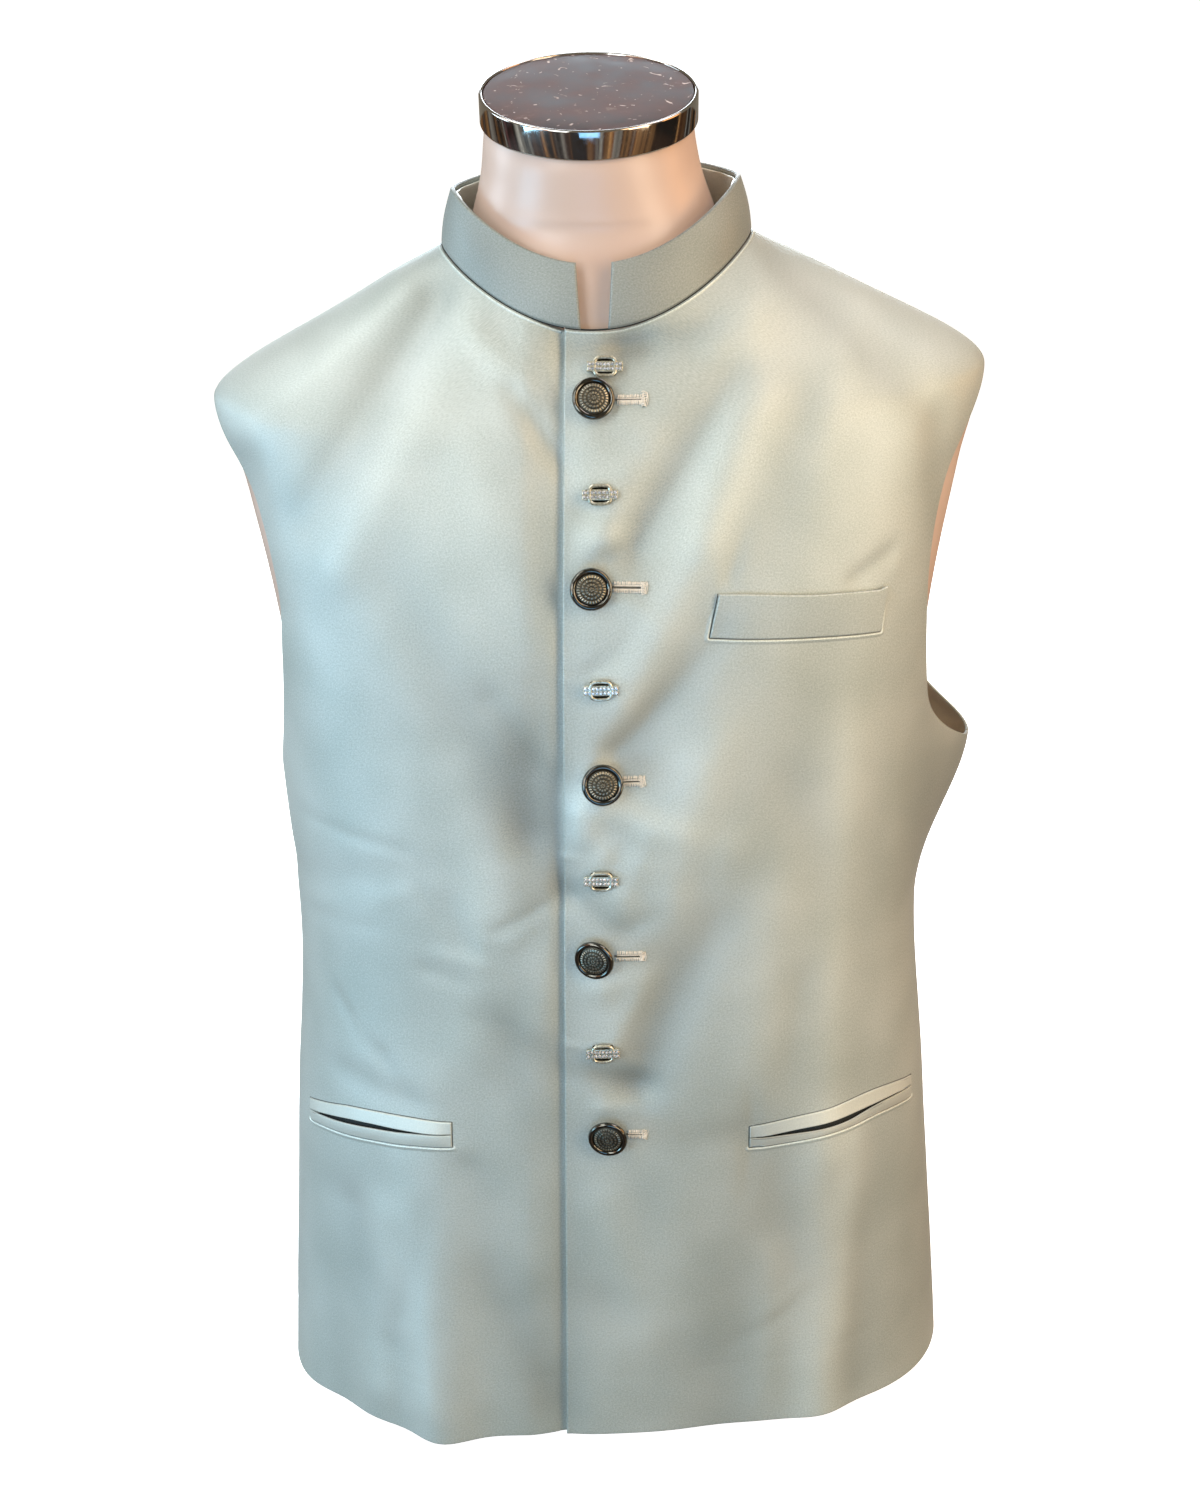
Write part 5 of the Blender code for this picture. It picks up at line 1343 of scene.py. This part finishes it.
def ornament(number, x, z, spin_deg):
    """One link: frame wire, prongs, bar, stones in two rows and the beads that hold them."""
    wire, wire_faces = ring_tube(bowed_rectangle(11.4, 9.3, 2.4, 0.35) + (0, 0, 1.9), 0.95, 0.95)
    middle = (STONE_COLUMNS - 1) / 2
    stones = xyz((np.arange(STONE_COLUMNS) - middle) * STONE_PITCH,
                 np.array([[1.25], [-1.25]]), 2.15).reshape(-1, 3)
    holders = xyz((np.arange(STONE_COLUMNS + 1) - middle - 0.5) * STONE_PITCH,
                  np.array([[2.4], [0.0], [-2.4]]), 2.25).reshape(-1, 3)
    points, blocks, marks = join_parts([
        (wire, [wire_faces], 0),
        (*rounded_bar(12.6, 10.2, 0.0, 0.45), 2), (*rounded_bar(19.6, 6.0, 0.4, 2.2), 0),
        (*beads(holders, 0.42), 0), (*beads(np.array(PRONGS), 0.62), 0),
        (*set_stones(stones, STONE_RADIUS, 0.8), 1)])
    place = on_front(x, z, LAY_GAP, (8, 3))
    made = put_mesh(f"ornament_{number}", laid(points @ about_z(spin_deg), place), blocks,
                    (SILVER, STONE, GUNMETAL), marks=marks, sharp=30)
    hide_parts(f"link_{number}")
    return made


ornaments = [ornament(k, *spec) for k, spec in enumerate(LINKS, 1)]

# %% [markdown]
# ## The dress form
# The form is a hollow moulding in painted glass-fibre, blush coloured, with a satin coat
# and fine specks. Only its neck and the skin at the armholes show. It could be sculpted,
# but it has to stay under the cloth, so the same rings as the CAD solid are read at finer
# steps, and a smooth curve joins the torso to the neck.

# %% Form sizes and paint
NeckRing = namedtuple("NeckRing", "z half_width front_depth back_depth middle_y lean_deg")
NECK = (NeckRing(758, 73.0, 53.0, 51.0,  0,  4), NeckRing(776, 66.0, 54.0, 49.0,  0,  8),
        NeckRing(790, 62.0, 55.0, 50.0, -1, 12), NeckRing(806, 59.5, 56.5, 53.0, -2, 15))
CAP_RADIUS, CAP_HEIGHT, CAP_TILT = 61.0, 17.0, math.radians(17)
CAP_PLACE = np.array(Matrix.Translation((0, -6, 833)) @ Matrix.Rotation(CAP_TILT, 4, "X"))
FORM_LEAN, FORM_SIDES, NECK_STEPS = 3.5, 180, 41
FOOT = (158, 76, 86)                        # half width, front and back depth of the foot
FOOT_RINGS = ((-9, 0.0), (-5, 0.0), (-1.8, 2.6), (-0.4, 5.8), (0, 9.0))  # growth and height
NECK_END = 58.5                             # radius of the neck under the cap

start = start_material("satin-painted glass fibre", "ead8cf", 0.42, Coat_Weight=0.25,
                       Coat_Roughness=0.25, IOR=1.5)
speckled(start, 9.0, 3.0, ((0.3, "c2a999"), (0.7, "cdb9ac")))
SKIN = speckled(start, 420.0, 2.0, bump=(0.25, 0.0002))

# %% Form skin
def form_rings(sides):
    """Rings from the foot to the neck: the jacket's sections moved in by a depth that
    blends from end to side with |sin|^8, then the neck's own ovals."""
    turn = folded(full_turn(sides))
    rings = []
    for grow, z in FOOT_RINGS:
        x, y = rounded(turn, *(size + grow for size in FOOT), 2.4)
        rings.append(xyz(x + JACKET_SHIFT, y, z))
    for v in np.concatenate([[0.04, 0.07, 0.10], np.linspace(0.14, 0.50, 12),
                             np.linspace(0.53, 1.0, 40)]):
        level = np.full_like(turn, v)
        blend = np.abs(np.sin(turn)) ** 8
        deep = between(section("form_end", level), section("form_side", level), blend)
        beside = smooth((v - 0.5) / 0.1) * smooth((0.84 - v) / 0.04)
        deep = deep + FORM_LEAN * blend * (turn < 0) * beside
        rings.append(hang(body_point(turn, level) - body_normal(turn, level) * deep[:, None]))
    neck = [rings[-1]]
    for k, ring in enumerate(NECK):
        x, y = rounded(turn, ring.half_width, ring.front_depth, ring.back_depth, 2.0)
        tilt = math.radians(ring.lean_deg)
        neck.append(xyz(x + JACKET_SHIFT * (1 - (k + 1) / 4),
                        ring.middle_y + y * math.cos(tilt), ring.z + y * math.sin(tilt)))
    top = xyz(NECK_END * np.sin(turn), -NECK_END * np.cos(turn), -CAP_HEIGHT - LAY_GAP)
    neck = np.array([*neck, laid(top, CAP_PLACE)])
    knots = np.arange(len(neck))
    fine = [spline(knots, neck[:, j, k], np.linspace(0, knots[-1], NECK_STEPS)[1:])
            for j in range(sides) for k in range(3)]
    rings += list(np.array(fine).reshape(sides, 3, -1).transpose(2, 0, 1))
    return np.array(rings)


rings = form_rings(FORM_SIDES)
points = np.concatenate([rings[0].mean(0)[None], rings.reshape(-1, 3), rings[-1].mean(0)[None]])
form_skin = put_mesh("form_skin", points, closed_rings(len(rings), FORM_SIDES), (SKIN,))
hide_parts("form_body")

# %% [markdown]
# ## The neck cap
# A spun metal cap closes the neck: a chromed band with rounded edges and, in its top, a
# dark laminate disc that has been scratched and dusted by years in a shop. Chrome is a
# metal with almost no roughness, so it needs something to show: the room does that, with
# hairline scratches. The disc shows scuffs, pale specks and a soft gloss.

# %% Cap materials
CHROME = speckled(start_material("bright chrome plate", "b9b4ae", 0.05, Metallic=1.0),
                  300.0, 5.0, rough=(0.35, 0.75, 0.03, 0.16), Roughness=0.7)

DISC, tree, shader = start_material("scuffed dark laminate", "54474a", 0.5, IOR=1.45)
total = noise(tree, 36.0, 6.0, Roughness=0.65)      # dust
specks = noise(tree, 75.0, 0.0, "Voronoi", Randomness=1.0).outputs["Distance"]
scuffs = noise(tree, 70.0, 2.0, Distortion=3.0).outputs[0]
for part in (span(tree, specks, 0.07, 0.10, 0.20, 0.0), span(tree, scuffs, 0.66, 0.72, 0.0, 0.5)):
    total = add(tree, "Math", {0: total.outputs[0], 1: part.outputs[0]}, operation="ADD")
feed(shader, Roughness=span(tree, total.outputs[0], 0.3, 0.9, 0.42, 0.8), Base_Color=add(
    tree, "ValToRGB", {0: total.outputs[0]},
    ((0.34, "2a1b18"), (0.62, "594340"), (1.0, "cfc4c0"))))

# %% Cap
def turned(name, profile, sides, look, place, sharp=45):
    """A turned piece: every (radius, height) of the profile goes once round Z, and both
    ends close on the axis."""
    angle = full_turn(sides)[None, :]
    r, h = np.array(profile, float).T[:, :, None]
    points = with_poles(xyz(r * np.cos(angle), r * np.sin(angle), h), h[0, 0], h[-1, 0])
    return put_mesh(name, laid(points, place), closed_rings(len(profile), sides), (look,),
                    sharp=sharp)


def arc(radius, height, size, first, last, count=7):
    """Profile points of a rounded edge between two angles."""
    return [(radius + size * math.cos(a), height + size * math.sin(a))
            for a in np.radians(np.linspace(first, last, count))]


LOW_EDGE, TOP_EDGE, DISC_EDGE = 1.4, 1.1, 0.5       # radii of the rounded edges
BAND_WALL, SINK = 2.0, 2.6                          # round the disc, and how deep its bed lies
CORE = 20                                           # radius of the ring next to the axis
band = [(CORE, -CAP_HEIGHT),
        *arc(CAP_RADIUS - LOW_EDGE, LOW_EDGE - CAP_HEIGHT, LOW_EDGE, -90, 0),
        *arc(CAP_RADIUS - TOP_EDGE, -TOP_EDGE, TOP_EDGE, 0, 120),
        (CAP_RADIUS - BAND_WALL, -0.5), (CAP_RADIUS - BAND_WALL - 0.1, 0.1 - SINK), (CORE, -SINK)]
cap_rim = turned("form_cap_band", band, 192, CHROME, CAP_PLACE, sharp=60)
seat = CAP_RADIUS - BAND_WALL - LAY_GAP
plate = [(CORE, LAY_GAP - SINK), (seat, LAY_GAP - SINK),
         *arc(seat - DISC_EDGE, -TOP_EDGE, DISC_EDGE, 0, 90), (2 * CORE, -0.55), (CORE, -0.5)]
cap_disc = turned("form_cap_plate", plate, 128, DISC, CAP_PLACE)
for piece, node, slot in ((cap_rim, "form_cap_rim", "chrome"),
                          (cap_disc, "form_cap_disc", "disc")):
    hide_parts(node)

# %% [markdown]
# ## Floor, world and lights
# The picture is lit like a shop window: cool daylight from the left of the frame and warm
# lamps from the right, both wide and soft. Large area lights do that, and three nearer,
# smaller ones model the chest. The floor and the world are plain and nearly white.

# %% Floor and world
FLOOR = speckled(
    start_material("matt white floor paint", "f4f4f2", 0.8, Emission_Strength=0.9,
                   Emission_Color=linear("ffffff")), 60.0, 3.0, bump=(0.1, 0.0005))
FLOOR_HALF = 3e5            # millimetres


def stage_grid(name, grid, look):
    """A grid of points in millimetres as an open sheet that belongs to no part."""
    mesh = bpy.data.meshes.new(name)
    index = np.arange(grid[..., 0].size).reshape(grid.shape[:2])
    mesh.from_pydata((grid.reshape(-1, 3) * MM).tolist(), [], grid_faces(index).tolist())
    mesh.materials.append(look)
    made = bpy.data.objects.new(name, mesh)
    bpy.context.scene.collection.objects.link(made)
    return made


across, along = np.meshgrid(*[np.linspace(-FLOOR_HALF, FLOOR_HALF, 5)] * 2)
floor = stage_grid("floor", xyz(across, along, 0), FLOOR)
floor.visible_diffuse = floor.visible_glossy = False

world = bpy.data.worlds.new("studio")
bpy.context.scene.world = world
world.use_nodes = True
world.node_tree.nodes["Background"].inputs["Color"].default_value = linear("fff1d9")
world.node_tree.nodes["Background"].inputs["Strength"].default_value = 0.26
bpy.context.scene.view_settings.view_transform = "Standard"

# %% Lights
# Azimuth from the front towards +X, elevation, size in metres, watts of red, green and
# blue, and for the near ones the distance and the height that they look at, in metres.
LIGHTS = (
    (-62, -9, 0.9, (10.6, 22.0, 31.5)),             # sky light back from the street
    (-100, 12, 0.9, (10.8, 13.6, 16.2)),            # shop window
    (-30, 12, 0.7, (10.4, 10.8, 11.0)),             # lamps over the walkway
    (-35, 38, 0.9, (11.0, 11.6, 12.0)),
    (45, 36, 0.8, (14.0, 9.2, 5.2)),                # warm spots on the other side
    (90, 12, 0.9, (9.0, 4.0, 1.2)),
    (-90, 60, 0.9, (15.6, 15.2, 15.2)),             # bright ceiling on both sides
    (95, 60, 0.9, (13.0, 11.5, 12.0)),
    (55, -12, 0.9, (12.5, 9.8, 6.6)),               # wooden floor in the warm light
    (180, 25, 1.2, (30.0, 34.0, 38.0)),             # fill for the back
    (-50, 10, 0.45, (1.1, 0.5, 0.3), 1.17, 0.6),    # near ones, at chest and belly
    (0, -4, 0.45, (0.5, 1.2, 2.1), 1.17, 0.45),
    (50, 10, 0.45, (4.2, 3.4, 2.6), 1.17, 0.6),
)


def soft_light(azimuth, elevation, size, watts, distance=2.2, height=0.45):
    """A square area light that looks at the point (0, 0, height) from the distance in m."""
    lamp = bpy.data.lights.new(f"light_{azimuth}_{elevation}", "AREA")
    lamp.size, lamp.energy, lamp.color = size, max(watts), np.array(watts) / max(watts)
    made = bpy.data.objects.new(lamp.name, lamp)
    a, e, aim = math.radians(azimuth), math.radians(elevation), Vector((0, 0, height))
    made.location = aim + distance * Vector((math.cos(e) * math.sin(a),
                                             -math.cos(e) * math.cos(a), math.sin(e)))
    made.rotation_euler = (aim - made.location).to_track_quat("-Z", "Y").to_euler()
    bpy.context.scene.collection.objects.link(made)


for light in LIGHTS:
    soft_light(*light)

# %% [markdown]
# ## What the chrome sees
# Chrome shows the room. The band of the cap leans towards the floor in front of it, and in
# a shop that is a dark, warm clutter with a few bright streaks. A flat ring on the floor,
# seen by reflections only, gives it that: brown, amber and white rays, as noise on the
# direction from its middle.

# %% Reflection ring
SHOP_NEAR, SHOP_FAR, SHOP_HEIGHT = 300, 9000, 2         # millimetres
SHOP, tree, shader = start_material("warm shop clutter", "1d1411", 0.9, Emission_Strength=1.5)
ray = add(tree, "VectorMath", {0: add(tree, "TexCoord").outputs["Object"]},
          operation="NORMALIZE").outputs[0]
wide = add(tree, "TexNoise", {"Vector": ray, "Scale": 2.3, "Detail": 1.0})
fine = add(tree, "TexNoise", {"Vector": ray, "Scale": 7.0, "Detail": 3.0, "Roughness": 0.8})
wares = add(tree, "ValToRGB", {0: wide.outputs[0]}, (
    (0.34, "1a2226"), (0.42, "0c0a0a"), (0.47, "d8a872"), (0.52, "5e3417"),
    (0.56, "e8f2f6"), (0.60, "121012"), (0.66, "5a3a40")))
streaks = add(tree, "ValToRGB", {0: fine.outputs[0]},
              ((0.38, "3a302c"), (0.56, "a09a92"), (0.70, "fffaf0")))
tone = add(tree, "Mix", {0: 1.0, 6: wares.outputs[0], 7: streaks.outputs[0]},
           data_type="RGBA", blend_type="MULTIPLY")
tree.links.new(tone.outputs[2], shader.inputs["Emission Color"])
turns, reaches = np.meshgrid(np.linspace(0, 2 * np.pi, 97),
                             np.geomspace(SHOP_NEAR, SHOP_FAR, 14))
shop = stage_grid("shop_reflection", xyz(reaches * np.cos(turns), reaches * np.sin(turns),
                                         SHOP_HEIGHT), SHOP)
shop.visible_camera = shop.visible_diffuse = shop.visible_shadow = False
shop.visible_transmission = False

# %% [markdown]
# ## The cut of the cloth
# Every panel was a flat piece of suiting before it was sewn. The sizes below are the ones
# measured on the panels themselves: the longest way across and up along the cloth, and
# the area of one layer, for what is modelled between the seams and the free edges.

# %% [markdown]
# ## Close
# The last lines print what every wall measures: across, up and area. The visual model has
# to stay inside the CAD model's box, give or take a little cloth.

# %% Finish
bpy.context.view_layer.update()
for piece, cut in cuts.items():
    print("cut", piece, cut)
